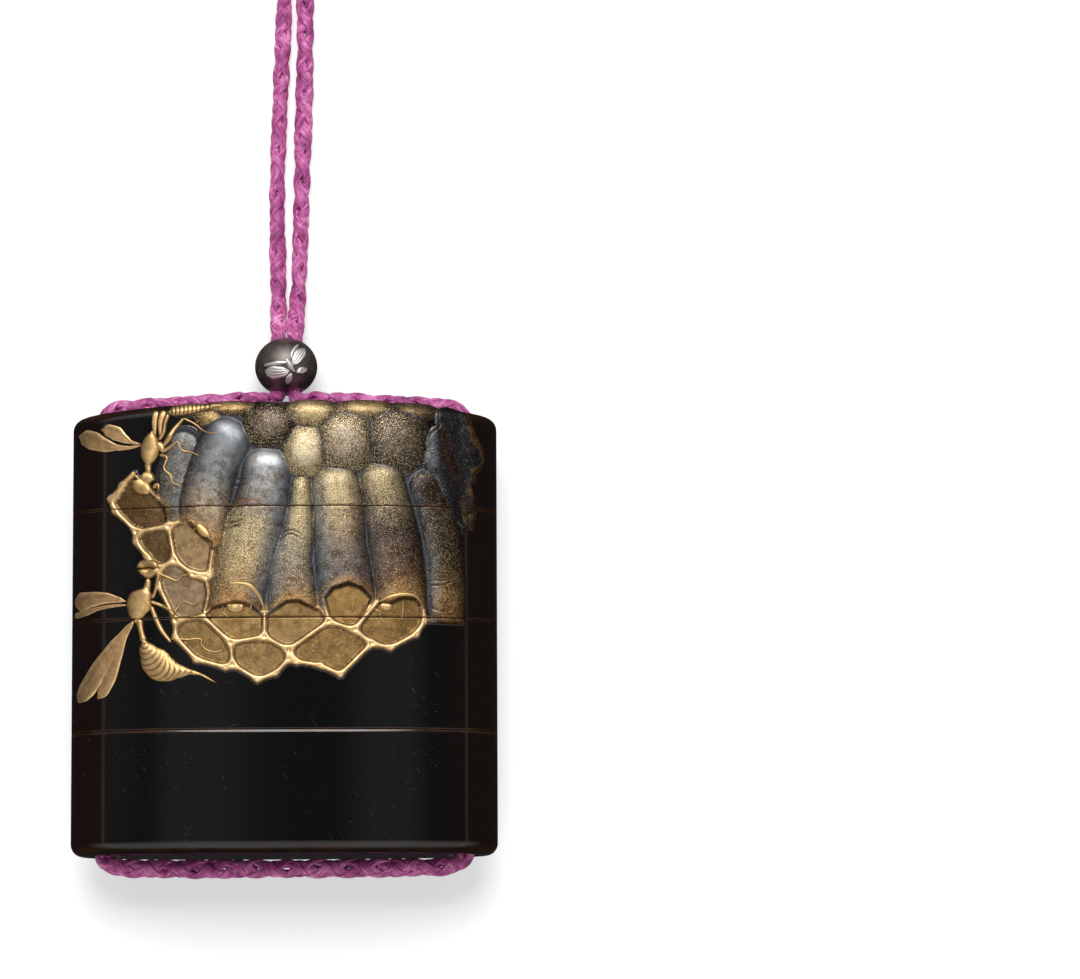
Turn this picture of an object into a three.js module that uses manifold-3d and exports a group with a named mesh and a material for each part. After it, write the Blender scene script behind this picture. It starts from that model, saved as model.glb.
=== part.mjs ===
// A four-piece lacquer inro: a lid and three stacked cases on one silk cord, with an ojime bead.
// It lies on its back. +X is to the right of its front, +Y towards its lid, +Z up through its front.
// All sizes are in millimetres. z = 0 is the surface that it lies on.
import * as THREE from 'three';
import { mergeVertices } from 'three/addons/utils/BufferGeometryUtils.js';
import Module from 'manifold-3d';

const wasm = await Module();
wasm.setup();

// The case: a flattened oval tube, cut by three seams.
const HALF_WIDTH = 31.2;
const HALF_DEPTH = 10.25;
const OVAL_POWER = 2.5;
const OVAL_STEPS = 40;
const TOP = 33.3;
const LID_SEAM = 17.6;
const UPPER_SEAM = 1.4;
const MIDDLE_SEAM = -14.8;
const BASE = -32.6;
const SEAM_GAP = 0.1;
const EDGE_ROUND = 1.8;
const LID_ARCH = 1.5;          // how far the lid's top falls from its middle to its ends
const BACK_RELIEF = 0.9;       // the nest on the back stands this far out and carries the case
const MIDDLE_Z = BACK_RELIEF + HALF_DEPTH;

// Inside each case: one compartment, an upstanding rim, and the socket that the rim fits.
const ROOM_HALF_WIDTH = 23.2;
const ROOM_HALF_DEPTH = 8.2;
const ROOM_POWER = 3;
const ROOM_STEPS = 18;
const RIM_WALL = 0.85;
const RIM_HEIGHT = 3.4;
const SOCKET_PLAY = 0.2;
const SOCKET_HEADROOM = 0.3;
const FLOOR = 1.6;
const LID_ROOF = 2.2;

// The cord, its two channels and the bead that slides on it.
const CORD = 2.3;
const CORD_SIDES = 8;
const CHANNEL_X = 27;
const CHANNEL_RADIUS = 1.55;
const MOUTH_ROUND = 1.2;
const BEAD = { x: -0.2, y: 40.75, z: 4.67, radius: 4.65, half: 4.3, tilt: 8, boreWide: 2.75, boreDeep: 1.55 };
const KNOT = { x: 10.4, y: 105.3, radius: 2.5 };
const COIL = { x: 12.1, y: 116.5, outer: 12.7, inner: 10.3, end: -84, step: 24 };
const LYING = CORD / 2 + 0.02;

// The nest's tubes: x and y of the closed top, x and y of the mouth, half width at each, height.
const FRONT_TUBES = [
  [-6.3, 30.7, -10.8, 16.6, 3.6, 3.6, 1.1],
  [-2.9, 26.5, -7, 3.6, 3.1, 4, 1.2],
  [2.2, 22.8, 1.9, 3.6, 3.1, 3.6, 1.2],
  [7.6, 24.6, 9.6, 6.4, 3.3, 4, 1.2],
  [14.4, 25, 17.3, 4.6, 3.4, 3.8, 1.2],
  [20.6, 23.6, 23.9, 0.4, 2.9, 2.9, 1.1],
  [24.6, 31.6, 26.2, 14.6, 3.4, 2.6, 0.8],
];
const FRONT_CAPS = [
  [-12.4, 31.3, 3.8, 2], [-2.9, 30.4, 3.8, 3.1], [2.4, 27.2, 3.6, 3.5], [8.6, 28.8, 3.8, 3.3],
  [15.2, 28.6, 3.9, 3.6], [4.6, 31.6, 4.6, 1.9], [12.6, 31.4, 4.2, 2], [19.6, 30.6, 3.9, 2.3],
];
const BACK_TUBES = [
  [28.6, 32.4, 28.2, 23.4, 2.0, 2.1, 0.8], [24.7, 32.6, 24.5, 22.2, 2.1, 2.1, 0.8],
  [18.9, 32.9, 17.9, 19.2, 3.3, 3.4, 1.0], [13.2, 33, 10.9, 17.6, 3.0, 3.3, 1.0],
  [6.7, 33.2, 3.9, 20.9, 3.3, 3.4, 1.0], [-0.3, 33.2, -3.6, 18.4, 3.5, 3.4, 1.0],
  [-7, 33.2, -10.2, 20.4, 3.1, 3.3, 1.0], [-12.8, 33, -15.6, 22, 2.6, 2.8, 0.9],
];
const TUBE_SIDES = 8;

// The comb: cell middles, split from each other halfway between neighbours.
const FRONT_CELLS = [
  [-20.7, 19.9], [-18.7, 12.1], [-12.4, 11.9], [-14.7, 5.4], [-6.9, 1.3], [-10.9, -3.4],
  [-2.9, -4.9], [1.4, 0.6], [9.6, 2.6], [7.2, -3.8], [16.3, 0.8],
];
const BACK_CELLS = [
  [28.6, 21], [24.6, 19.8], [18.1, 16.8], [9.6, 15.8], [3.3, 12.8], [1, 18.6], [-2.4, 14.3],
  [-6.8, 17.9], [-11.4, 18.8], [-16, 19.8],
];
const CELL_REACH = 4.3;
const CELL_SIDES = 6;
const RIB = 0.75;
const RIB_RISE = 0.45;
const RIB_INNER = RIB / 2 + 0.15;
const CELL_TURN = 0.3;

// Three wasps. Each has a head, a thorax, a striped abdomen from its waist to its sting, and wings
// given by root, tip and half width.
const WASPS = [
  { front: true, head: [-19.5, 22, 1.5], thorax: [-19.6, 26.6, 2.3, 1.7, 80],
    abdomen: [-17.4, 31.6, -9.6, 32.4, 0.9],
    wings: [[-21, 27.2, -30.2, 29.6, 0.9], [-21, 27, -27.6, 30.6, 0.6]] },
  { front: true, head: [-19.6, 8.9, 1.5], thorax: [-20.5, 4.6, 2.4, 1.7, 75],
    abdomen: [-20.2, 0.4, -10.6, -7.2, 2.3],
    wings: [[-22.4, 4, -30.4, 5.4, 0.8], [-21.6, 2.4, -29.6, -9, 1.2], [-21, 1.8, -25.8, -9.4, 1]] },
  { front: false, head: [1.4, -9.3, 1.6], thorax: [-2.8, -8.2, 1.9, 1.6, 0],
    abdomen: [-6, -8.6, -14, -17, 2.1],
    wings: [[-0.9, -6.7, 12.2, 1.6, 1.1], [-1.6, -6.2, 4.5, 0.6, 0.9], [-2.6, -5.8, -9.3, 9, 1.5],
      [-3.2, -5.8, -11.4, 2.8, 1.2]] },
];
const WASP_RISE = 0.6;
const WING_RISE = 0.3;

// ---------- shaping helpers ----------

// How far the oval reaches from its middle plane at a place across it.
function ovalDepth(x, halfWidth = HALF_WIDTH, halfDepth = HALF_DEPTH, power = OVAL_POWER) {
  const share = Math.min(Math.abs(x) / halfWidth, 1);
  return halfDepth * (1 - share ** power) ** (1 / power);
}

function ovalRing(halfWidth, halfDepth, power, steps) {
  const signedPower = (value) => Math.sign(value) * Math.abs(value) ** (2 / power);
  return Array.from({ length: steps }, (_, i) => {
    const angle = ((i + 0.5) / steps) * 2 * Math.PI;
    return { x: halfWidth * signedPower(Math.cos(angle)), z: halfDepth * signedPower(Math.sin(angle)) };
  });
}

// A closed body through rings of equal length, with a fan over each end.
function bodyThroughRings(rings) {
  const steps = rings[0].length;
  const middle = (ring) => ring.reduce((sum, p) => sum.add(p), new THREE.Vector3()).divideScalar(steps);
  const points = [...rings.flat(), middle(rings[0]), middle(rings[rings.length - 1])];
  const index = [];
  for (let level = 0; level + 1 < rings.length; level += 1) {
    for (let i = 0; i < steps; i += 1) {
      const a = level * steps + i;
      const b = level * steps + ((i + 1) % steps);
      index.push(a, b, a + steps, b, b + steps, a + steps);
    }
  }
  const lowMiddle = points.length - 2;
  const lastRing = (rings.length - 1) * steps;
  for (let i = 0; i < steps; i += 1) {
    const next = (i + 1) % steps;
    index.push(lowMiddle, next, i, lowMiddle + 1, lastRing + i, lastRing + next);
  }
  const geometry = new THREE.BufferGeometry().setFromPoints(points);
  geometry.setIndex(index);
  return solid(geometry);
}

// An oval slab of the case's kind, from one height to another.
function ovalSlab(low, high, halfWidth, halfDepth, power = OVAL_POWER, steps = OVAL_STEPS) {
  const ring = ovalRing(halfWidth, halfDepth, power, steps);
  const at = (y) => ring.map((p) => new THREE.Vector3(p.x, y, MIDDLE_Z + p.z));
  return bodyThroughRings([at(low), at(high)]);
}

// A three.js geometry as a closed solid, turned the right way out.
function solid(geometry) {
  const bare = geometry.clone();
  bare.deleteAttribute('normal');
  bare.deleteAttribute('uv');
  const merged = mergeVertices(bare, 1e-5);
  const vertices = new Float32Array(merged.attributes.position.array);
  const triangles = new Uint32Array(merged.index.array);
  let volume = 0;
  const corner = (i) => new THREE.Vector3().fromArray(vertices, triangles[i] * 3);
  for (let i = 0; i < triangles.length; i += 3) {
    volume += corner(i).dot(corner(i + 1).cross(corner(i + 2)));
  }
  if (volume < 0) triangles.reverse();
  return new wasm.Manifold(new wasm.Mesh({ numProp: 3, vertProperties: vertices, triVerts: triangles }));
}

function geometryOf(body) {
  const mesh = body.getMesh();
  const geometry = new THREE.BufferGeometry();
  geometry.setAttribute('position', new THREE.BufferAttribute(new Float32Array(mesh.vertProperties), 3));
  geometry.setIndex(new THREE.BufferAttribute(new Uint32Array(mesh.triVerts), 1));
  const faceted = geometry.toNonIndexed();
  faceted.computeVertexNormals();
  return faceted;
}

function joined(bodies) {
  return bodies.reduce((whole, body) => whole.add(body));
}

// Lays a shape that was made around the origin, thick along Z, on the front or the back of the case.
function layOnCase(geometry, x, y, turn, front) {
  const slope = Math.atan2(ovalDepth(x - 0.5) - ovalDepth(x + 0.5), 1);
  const side = front ? 1 : -1;
  geometry.rotateZ(turn);
  geometry.rotateY(slope * side);
  geometry.translate(x, y, MIDDLE_Z + side * ovalDepth(x));
  return solid(geometry);
}

// A flat pattern raised by the same amount all over the front or the back.
function raisedPattern(shapes, rise, front) {
  const grown = ovalSlab(BASE + 2, TOP - 1.2, HALF_WIDTH + rise, HALF_DEPTH + rise);
  const prisms = shapes.map((shape) => {
    const prism = new THREE.ExtrudeGeometry(shape, { depth: HALF_DEPTH + 2, bevelEnabled: false });
    prism.translate(0, 0, front ? MIDDLE_Z : MIDDLE_Z - HALF_DEPTH - 2);
    return solid(prism);
  });
  return joined(prisms).intersect(grown);
}

// ---------- the relief ----------

// One tube of the nest: a half-buried finger with a rounded closed top.
function nestTube([topX, topY, mouthX, mouthY, topHalf, mouthHalf, height], front) {
  const length = Math.hypot(topX - mouthX, topY - mouthY);
  const rounded = Math.cos(Math.PI / 4);
  const profile = [[0, 0], [mouthHalf, 0], [topHalf, length - topHalf],
    [topHalf * rounded, length - topHalf * (1 - rounded)], [0, length]];
  const finger = new THREE.LatheGeometry(profile.map(([r, h]) => new THREE.Vector2(r, h)), TUBE_SIDES);
  finger.translate(0, -length / 2, 0);
  finger.scale(1, 1, height / mouthHalf);
  const turn = Math.atan2(mouthX - topX, topY - mouthY);
  return layOnCase(finger, (topX + mouthX) / 2, (topY + mouthY) / 2, turn, front);
}

// A closed cell seen from its end: a low dome.
function nestCap([x, y, halfAcross, halfUp], front) {
  const dome = new THREE.SphereGeometry(1, TUBE_SIDES, 4);
  dome.scale(halfAcross, halfUp, 1.1);
  return layOnCase(dome, x, y, 0, front);
}

// The comb's ribs: each cell is a polygon, cut off halfway to its neighbours, with its middle open.
function cutPolygon(points, middle, other) {
  const toOther = other.clone().sub(middle);
  const halfway = middle.clone().add(other).multiplyScalar(0.5);
  const depth = (p) => p.clone().sub(halfway).dot(toOther);
  const kept = [];
  points.forEach((point, i) => {
    const next = points[(i + 1) % points.length];
    if (depth(point) <= 0) kept.push(point);
    if ((depth(point) <= 0) !== (depth(next) <= 0)) {
      kept.push(point.clone().lerp(next, depth(point) / (depth(point) - depth(next))));
    }
  });
  return kept;
}

function combShapes(cells) {
  const middles = cells.map(([x, y]) => new THREE.Vector2(x, y));
  return middles.map((middle) => {
    let polygon = Array.from({ length: CELL_SIDES }, (_, i) => {
      const angle = (i / CELL_SIDES) * 2 * Math.PI + CELL_TURN;
      return new THREE.Vector2(Math.cos(angle), Math.sin(angle)).multiplyScalar(CELL_REACH).add(middle);
    });
    for (const other of middles) {
      if (other !== middle && other.distanceTo(middle) < 2 * CELL_REACH) {
        polygon = cutPolygon(polygon, middle, other);
      }
    }
    const centre = polygon.reduce((sum, p) => sum.add(p), new THREE.Vector2()).divideScalar(polygon.length);
    const around = (grow) => polygon.map((p) => {
      const out = p.clone().sub(centre);
      return centre.clone().add(out.multiplyScalar((out.length() + grow) / out.length()));
    });
    const shape = new THREE.Shape(around(RIB / 2));
    shape.holes.push(new THREE.Path(around(-RIB_INNER)));
    return shape;
  });
}

// A wing: a leaf outline between its root and its tip.
function wingShape([rootX, rootY, tipX, tipY, half]) {
  const root = new THREE.Vector2(rootX, rootY);
  const tip = new THREE.Vector2(tipX, tipY);
  const along = tip.clone().sub(root);
  const across = new THREE.Vector2(-along.y, along.x).normalize();
  const place = (share, side) => root.clone().addScaledVector(along, share).addScaledVector(across, side);
  return new THREE.Shape([
    place(0, -0.2), place(0.45, -half * 0.7), place(0.8, -half), place(1, 0), place(0.8, half),
    place(0.45, half * 0.7), place(0, 0.2),
  ]);
}

function waspBody({ front, head, thorax, abdomen }) {
  const [headX, headY, headRadius] = head;
  const skull = new THREE.SphereGeometry(headRadius, 8, 4);
  skull.scale(1, 1, WASP_RISE / headRadius);
  const [thoraxX, thoraxY, halfLong, halfWide, angle] = thorax;
  const chest = new THREE.SphereGeometry(1, 8, 4);
  chest.scale(halfLong, halfWide, WASP_RISE + 0.1);
  const [waistX, waistY, stingX, stingY, fat] = abdomen;
  const length = Math.hypot(waistX - stingX, waistY - stingY);
  const profile = [[0, 0], [0.3, 0], [fat * 0.75, 0.18], [fat, 0.42], [fat * 0.7, 0.68], [0.2, 0.9], [0, 1]];
  const tail = new THREE.LatheGeometry(profile.map(([r, share]) => new THREE.Vector2(r, share * length)), 8);
  tail.translate(0, -length / 2, 0);
  tail.scale(1, 1, WASP_RISE / fat);
  const turn = Math.atan2(waistX - stingX, stingY - waistY);
  const turned = THREE.MathUtils.degToRad(angle);
  return joined([
    layOnCase(skull, headX, headY, 0, front),
    layOnCase(chest, thoraxX, thoraxY, turned, front),
    layOnCase(tail, (waistX + stingX) / 2, (waistY + stingY) / 2, turn, front),
  ]);
}

function wholeRelief() {
  const wings = (front) => WASPS.filter((wasp) => wasp.front === front).flatMap((wasp) => wasp.wings);
  return joined([
    ...FRONT_TUBES.map((tube) => nestTube(tube, true)),
    ...FRONT_CAPS.map((cap) => nestCap(cap, true)),
    ...BACK_TUBES.map((tube) => nestTube(tube, false)),
    raisedPattern(combShapes(FRONT_CELLS), RIB_RISE, true),
    raisedPattern(combShapes(BACK_CELLS), RIB_RISE, false),
    raisedPattern(wings(true).map(wingShape), WING_RISE, true),
    raisedPattern(wings(false).map(wingShape), WING_RISE, false),
    ...WASPS.map(waspBody),
  ]);
}

// ---------- the four pieces of the case ----------

const ROUND_ANGLES = [0, 45, 90];

// A rounded edge as [inset, drop] pairs, from the side wall to the flat end.
const ROUNDED = ROUND_ANGLES.map((degrees) => {
  const angle = THREE.MathUtils.degToRad(degrees);
  return [EDGE_ROUND * (1 - Math.cos(angle)), EDGE_ROUND * (1 - Math.sin(angle))];
});

function roundedRing([inset, drop], endY, direction, arch) {
  return ovalRing(HALF_WIDTH - inset, HALF_DEPTH - inset, OVAL_POWER, OVAL_STEPS).map((p) => {
    const fall = arch * (p.x / HALF_WIDTH) ** 2;
    return new THREE.Vector3(p.x, endY - direction * (drop + fall), MIDDLE_Z + p.z);
  });
}

function lidOutside() {
  const wall = ovalRing(HALF_WIDTH, HALF_DEPTH, OVAL_POWER, OVAL_STEPS)
    .map((p) => new THREE.Vector3(p.x, LID_SEAM + SEAM_GAP, MIDDLE_Z + p.z));
  const rounded = ROUNDED.map((step) => roundedRing(step, TOP, 1, LID_ARCH));
  const inner = ovalRing(HALF_WIDTH / 2, HALF_DEPTH / 2, OVAL_POWER, OVAL_STEPS)
    .map((p) => new THREE.Vector3(p.x, TOP - LID_ARCH * (p.x / HALF_WIDTH) ** 2, MIDDLE_Z + p.z));
  return bodyThroughRings([wall, ...rounded, inner]);
}

function lowerOutside() {
  const rounded = ROUNDED.map((step) => roundedRing(step, BASE, -1, 0)).reverse();
  const wall = ovalRing(HALF_WIDTH, HALF_DEPTH, OVAL_POWER, OVAL_STEPS)
    .map((p) => new THREE.Vector3(p.x, MIDDLE_SEAM, MIDDLE_Z + p.z));
  return bodyThroughRings([...rounded, wall]);
}

const room = (low, high, grow = 0) => ovalSlab(low, high, ROOM_HALF_WIDTH + grow, ROOM_HALF_DEPTH + grow,
  ROOM_POWER, ROOM_STEPS);
const rim = (seam) => room(seam - 1, seam + RIM_HEIGHT, RIM_WALL);
const SOCKET_DEPTH = RIM_HEIGHT + SOCKET_HEADROOM;
const socket = (seam) => room(seam - 1, seam + SOCKET_DEPTH, RIM_WALL + SOCKET_PLAY);

// The two cord channels, with rounded mouths at the lid and at the base.
function channels() {
  const lidMouth = TOP - LID_ARCH * (CHANNEL_X / HALF_WIDTH) ** 2;
  const profile = [[0, BASE - 1], [CHANNEL_RADIUS + MOUTH_ROUND, BASE - 1]];
  for (const degrees of ROUND_ANGLES) {
    const angle = THREE.MathUtils.degToRad(degrees);
    profile.push([CHANNEL_RADIUS + MOUTH_ROUND * (1 - Math.sin(angle)),
      BASE + MOUTH_ROUND * (1 - Math.cos(angle))]);
  }
  for (const degrees of [...ROUND_ANGLES].reverse()) {
    const angle = THREE.MathUtils.degToRad(degrees);
    profile.push([CHANNEL_RADIUS + MOUTH_ROUND * (1 - Math.sin(angle)),
      lidMouth - MOUTH_ROUND * (1 - Math.cos(angle))]);
  }
  profile.push([CHANNEL_RADIUS + MOUTH_ROUND, TOP + 2], [0, TOP + 2]);
  return joined([-1, 1].map((side) => {
    const bore = new THREE.LatheGeometry(profile.map(([r, y]) => new THREE.Vector2(r, y)), 12);
    bore.translate(side * CHANNEL_X, 0, MIDDLE_Z);
    return solid(bore);
  }));
}

function casePieces() {
  const relief = wholeRelief();
  const bores = channels();
  const space = new THREE.BoxGeometry(3 * HALF_WIDTH, 3 * TOP, 4 * HALF_DEPTH);
  const overTable = solid(space.translate(0, 0, 2 * HALF_DEPTH));
  const dressed = (outside, low, high) => {
    const slab = ovalSlab(low, high, HALF_WIDTH + 5, HALF_DEPTH + 5, OVAL_POWER, 16);
    return outside.add(relief.intersect(slab)).intersect(overTable);
  };
  const slabBetween = (low, high) => ovalSlab(low, high, HALF_WIDTH, HALF_DEPTH);
  const boxed = (outside, low, seam) => outside.add(rim(seam)).subtract(room(low + FLOOR, seam + 9));
  const lid = dressed(lidOutside(), LID_SEAM + SEAM_GAP, TOP + 3)
    .subtract(socket(LID_SEAM)).subtract(room(LID_SEAM, TOP - LID_ROOF - LID_ARCH / 2));
  const upper = boxed(dressed(slabBetween(UPPER_SEAM + SEAM_GAP, LID_SEAM), UPPER_SEAM + SEAM_GAP, LID_SEAM),
    UPPER_SEAM + SOCKET_DEPTH, LID_SEAM).subtract(socket(UPPER_SEAM));
  const middle = boxed(dressed(slabBetween(MIDDLE_SEAM + SEAM_GAP, UPPER_SEAM), MIDDLE_SEAM + SEAM_GAP,
    UPPER_SEAM), MIDDLE_SEAM + SOCKET_DEPTH, UPPER_SEAM).subtract(socket(MIDDLE_SEAM));
  const lower = boxed(dressed(lowerOutside(), BASE, MIDDLE_SEAM), BASE, MIDDLE_SEAM);
  const pieces = { lid, upper_case: upper, middle_case: middle, lower_case: lower };
  return Object.entries(pieces).map(([name, body]) => [name, body.subtract(bores)]);
}

// ---------- the cord, the bead and the knot ----------

// A tube along chosen points. Steps are shared out evenly between the points, so bends get more.
function cordTube(points, stepsBetween) {
  const route = new THREE.CatmullRomCurve3(points.map((p) => new THREE.Vector3(...p)), false, 'centripetal');
  route.getPointAt = (share, target) => route.getPoint(share, target);
  route.getTangentAt = (share, target) => route.getTangent(share, target);
  const section = new THREE.Shape(Array.from({ length: CORD_SIDES }, (_, i) => {
    const angle = (i / CORD_SIDES) * 2 * Math.PI;
    return new THREE.Vector2(Math.cos(angle), Math.sin(angle)).multiplyScalar(CORD / 2);
  }));
  const steps = (points.length - 1) * stepsBetween;
  return solid(new THREE.ExtrudeGeometry(section, { steps, extrudePath: route, bevelEnabled: false }));
}

// From the middle of the lid's top, down the left channel and to the middle of the base.
const HELD_HALF = [
  [-6.8, 34.75], [-12, 34.4], [-17, 34.15], [-21, 33.9], [-24.25, 33.6], [-25.98, 32.87], [-26.7, 31.14],
  [-26.95, 26], [-27, 9], [-27, -9], [-26.95, -27], [-26.7, -31.6], [-25.98, -33.38],
  [-24.25, -34.08], [-18, -34.3], [-9, -34.38], [0, -34.4],
];
function heldCord() {
  const left = HELD_HALF.map(([x, y]) => [x, y, MIDDLE_Z]);
  const right = HELD_HALF.slice(0, -1).reverse().map(([x, y]) => [-x, y, MIDDLE_Z]);
  return cordTube([...left, ...right], 1);
}

// Each free strand: off the lid's top, through the bead, along the table and once round a coil.
const LEFT_START = [
  [-6.5, 34.75, 11.15], [-4.8, 34.9, 10.8], [-3.6, 35.0, 9.3], [-2.5, 35.2, 7.2], [-1.75, 35.8, 5.85],
  [-1.4, 36.8, 5.22], [-1.4, 40.75, 4.67], [-1.4, 44.7, 4.12], [-1.45, 47.8, 2.7], [-1.5, 51.3, 1.45],
  [-1.6, 55, LYING], [-1.75, 69.6, LYING], [-1, 90, LYING], [-0.65, 101, LYING],
  [-0.6, 109, LYING],
];
const RIGHT_START = [
  [6.5, 34.75, 11.15], [4.6, 34.9, 10.8], [3.3, 35.0, 9.3], [2.1, 35.2, 7.2], [1.35, 35.8, 5.85],
  [1, 36.8, 5.22], [1, 40.75, 4.67], [1, 44.7, 4.12], [1.1, 47.8, 2.7], [1.35, 51.3, 1.45],
  [1.55, 55, LYING], [1.95, 69.6, LYING], [2.4, 90, LYING], [2.3, 101, LYING],
  [1.9, 109, LYING],
];
function coilTurn(radius) {
  const turn = [];
  for (let degrees = 180; degrees >= COIL.end; degrees -= COIL.step) {
    const angle = THREE.MathUtils.degToRad(degrees);
    turn.push([COIL.x + radius * Math.cos(angle), COIL.y + radius * Math.sin(angle), LYING]);
  }
  return turn;
}

function bead() {
  const profile = [];
  for (let degrees = -90; degrees <= 90; degrees += 22.5) {
    const angle = THREE.MathUtils.degToRad(degrees);
    profile.push(new THREE.Vector2(Math.max(BEAD.radius * Math.cos(angle), 0), BEAD.half * Math.sin(angle)));
  }
  const ball = new THREE.LatheGeometry(profile, 14);
  const bore = new THREE.LatheGeometry([[0, -6], [1, -6], [1, 6], [0, 6]].map(([r, h]) =>
    new THREE.Vector2(r, h)), 14);
  bore.scale(BEAD.boreWide, 1, BEAD.boreDeep);
  const placed = [ball, bore].map((geometry) => {
    geometry.rotateX(-THREE.MathUtils.degToRad(BEAD.tilt));
    geometry.translate(BEAD.x, BEAD.y, BEAD.z);
    return solid(geometry);
  });
  return placed[0].subtract(placed[1]);
}

// ---------- the whole object ----------

function piece(name, body, color, roughness, metalness) {
  const mesh = new THREE.Mesh(geometryOf(body), new THREE.MeshStandardMaterial({ color, roughness, metalness }));
  mesh.name = name;
  return mesh;
}

const inro = new THREE.Group();
for (const [name, body] of casePieces()) {
  inro.add(piece(name, body, 0x14100f, 0.2, 0));
}
inro.add(piece('ojime', bead(), 0x3b3836, 0.35, 1));
const knot = new THREE.SphereGeometry(KNOT.radius, 8, 6);
knot.translate(KNOT.x, KNOT.y, KNOT.radius + 0.02);
inro.add(piece('knot', solid(knot), 0xb0408c, 0.8, 0));
const strands = {
  cord_held: heldCord(),
  cord_left: cordTube([...LEFT_START, ...coilTurn(COIL.outer)], 1),
  cord_right: cordTube([...RIGHT_START, ...coilTurn(COIL.inner)], 1),
};
for (const [name, body] of Object.entries(strands)) {
  inro.add(piece(name, body, 0xb0408c, 0.8, 0));
}

export default inro;
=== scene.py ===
# %% [markdown]
# # A lacquer inro with a wasps' nest in relief
# An inro is a stack of small lacquered boxes that one silk cord holds together. Here three boxes
# and a lid lie on their back. A metal bead, the ojime, slides on the cord and keeps the stack shut.
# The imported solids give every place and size; this script gives each piece its finished surface.

# %% Load the fixed frame
import math

import bpy
import numpy as np
from mathutils import Matrix, Vector


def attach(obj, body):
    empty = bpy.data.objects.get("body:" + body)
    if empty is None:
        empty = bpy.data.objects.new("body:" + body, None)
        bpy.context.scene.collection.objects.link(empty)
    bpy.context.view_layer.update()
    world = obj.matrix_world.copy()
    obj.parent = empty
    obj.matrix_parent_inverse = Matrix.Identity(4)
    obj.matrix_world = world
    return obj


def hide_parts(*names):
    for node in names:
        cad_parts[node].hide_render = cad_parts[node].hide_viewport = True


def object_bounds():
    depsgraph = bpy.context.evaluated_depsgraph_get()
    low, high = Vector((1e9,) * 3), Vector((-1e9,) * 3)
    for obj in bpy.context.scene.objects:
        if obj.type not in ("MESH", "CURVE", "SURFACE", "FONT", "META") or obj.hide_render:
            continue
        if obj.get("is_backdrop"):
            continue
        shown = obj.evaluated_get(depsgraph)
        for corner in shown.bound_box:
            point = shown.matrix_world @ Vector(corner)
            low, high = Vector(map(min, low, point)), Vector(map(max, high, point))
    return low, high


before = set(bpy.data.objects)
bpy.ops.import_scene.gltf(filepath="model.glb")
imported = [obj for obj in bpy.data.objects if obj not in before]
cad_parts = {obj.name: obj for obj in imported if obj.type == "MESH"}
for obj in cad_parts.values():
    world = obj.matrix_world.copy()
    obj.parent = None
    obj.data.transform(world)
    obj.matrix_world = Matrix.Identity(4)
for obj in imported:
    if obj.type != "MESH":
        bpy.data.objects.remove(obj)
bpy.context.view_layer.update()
MM = 0.001
print("solids:", sorted(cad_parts))

# %% [markdown]
# ## The camera
# The inro is shown from nearly straight above its front, tipped a little so that the underside of
# the lowest box just shows. A long lens keeps its sides parallel. The camera aims to the right of the
# case, so that the case stands at the left of the view.

# %% The camera
CASE_MIDDLE_Z = 11.15
AIM = Vector((37.6, 21.27, CASE_MIDDLE_Z)) * MM
DISTANCE = 737.5 * MM
TIP = math.radians(7.4)
ROLL = math.radians(0.28)

camera = bpy.data.objects.new("camera", bpy.data.cameras.new("camera"))
bpy.context.scene.collection.objects.link(camera)
camera.data.sensor_width = 36
camera.data.lens = 166.67
camera.data.clip_start = 0.01
camera.data.clip_end = 20
camera.matrix_world = (
    Matrix.Translation(AIM + DISTANCE * Vector((0, -math.sin(TIP), math.cos(TIP))))
    @ Matrix.Rotation(TIP, 4, "X") @ Matrix.Rotation(-ROLL, 4, "Z"))
bpy.context.scene.camera = camera
bpy.context.scene.view_settings.view_transform = "Standard"
print("camera at", [round(v, 3) for v in camera.matrix_world.translation])


# %% [markdown]
# ## Helpers
# Nodes of a material are made by one short function each, so that a finish reads as a list of steps.
# A mesh that is worked out point by point is moved with numpy, which is quick on many vertices.

# %% Helpers for objects and meshes
def deselect_all():
    if bpy.context.mode != "OBJECT":
        bpy.ops.object.mode_set(mode="OBJECT")
    bpy.ops.object.select_all(action="DESELECT")


def take(obj):
    """Makes one object the active and only selected one."""
    deselect_all()
    obj.select_set(True)
    bpy.context.view_layer.objects.active = obj


def read_points(obj):
    points = np.empty(len(obj.data.vertices) * 3)
    obj.data.vertices.foreach_get("co", points)
    return points.reshape(-1, 3)


def write_points(obj, points):
    obj.data.vertices.foreach_set("co", np.ascontiguousarray(points, dtype=np.float32).ravel())
    obj.data.update()


def mesh_object(name, points, faces):
    mesh = bpy.data.meshes.new(name)
    mesh.from_pydata([tuple(p) for p in points], [], faces)
    mesh.update()
    obj = bpy.data.objects.new(name, mesh)
    bpy.context.scene.collection.objects.link(obj)
    return obj


def smooth(obj):
    obj.data.polygons.foreach_set("use_smooth", [True] * len(obj.data.polygons))
    obj.data.update()


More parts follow.
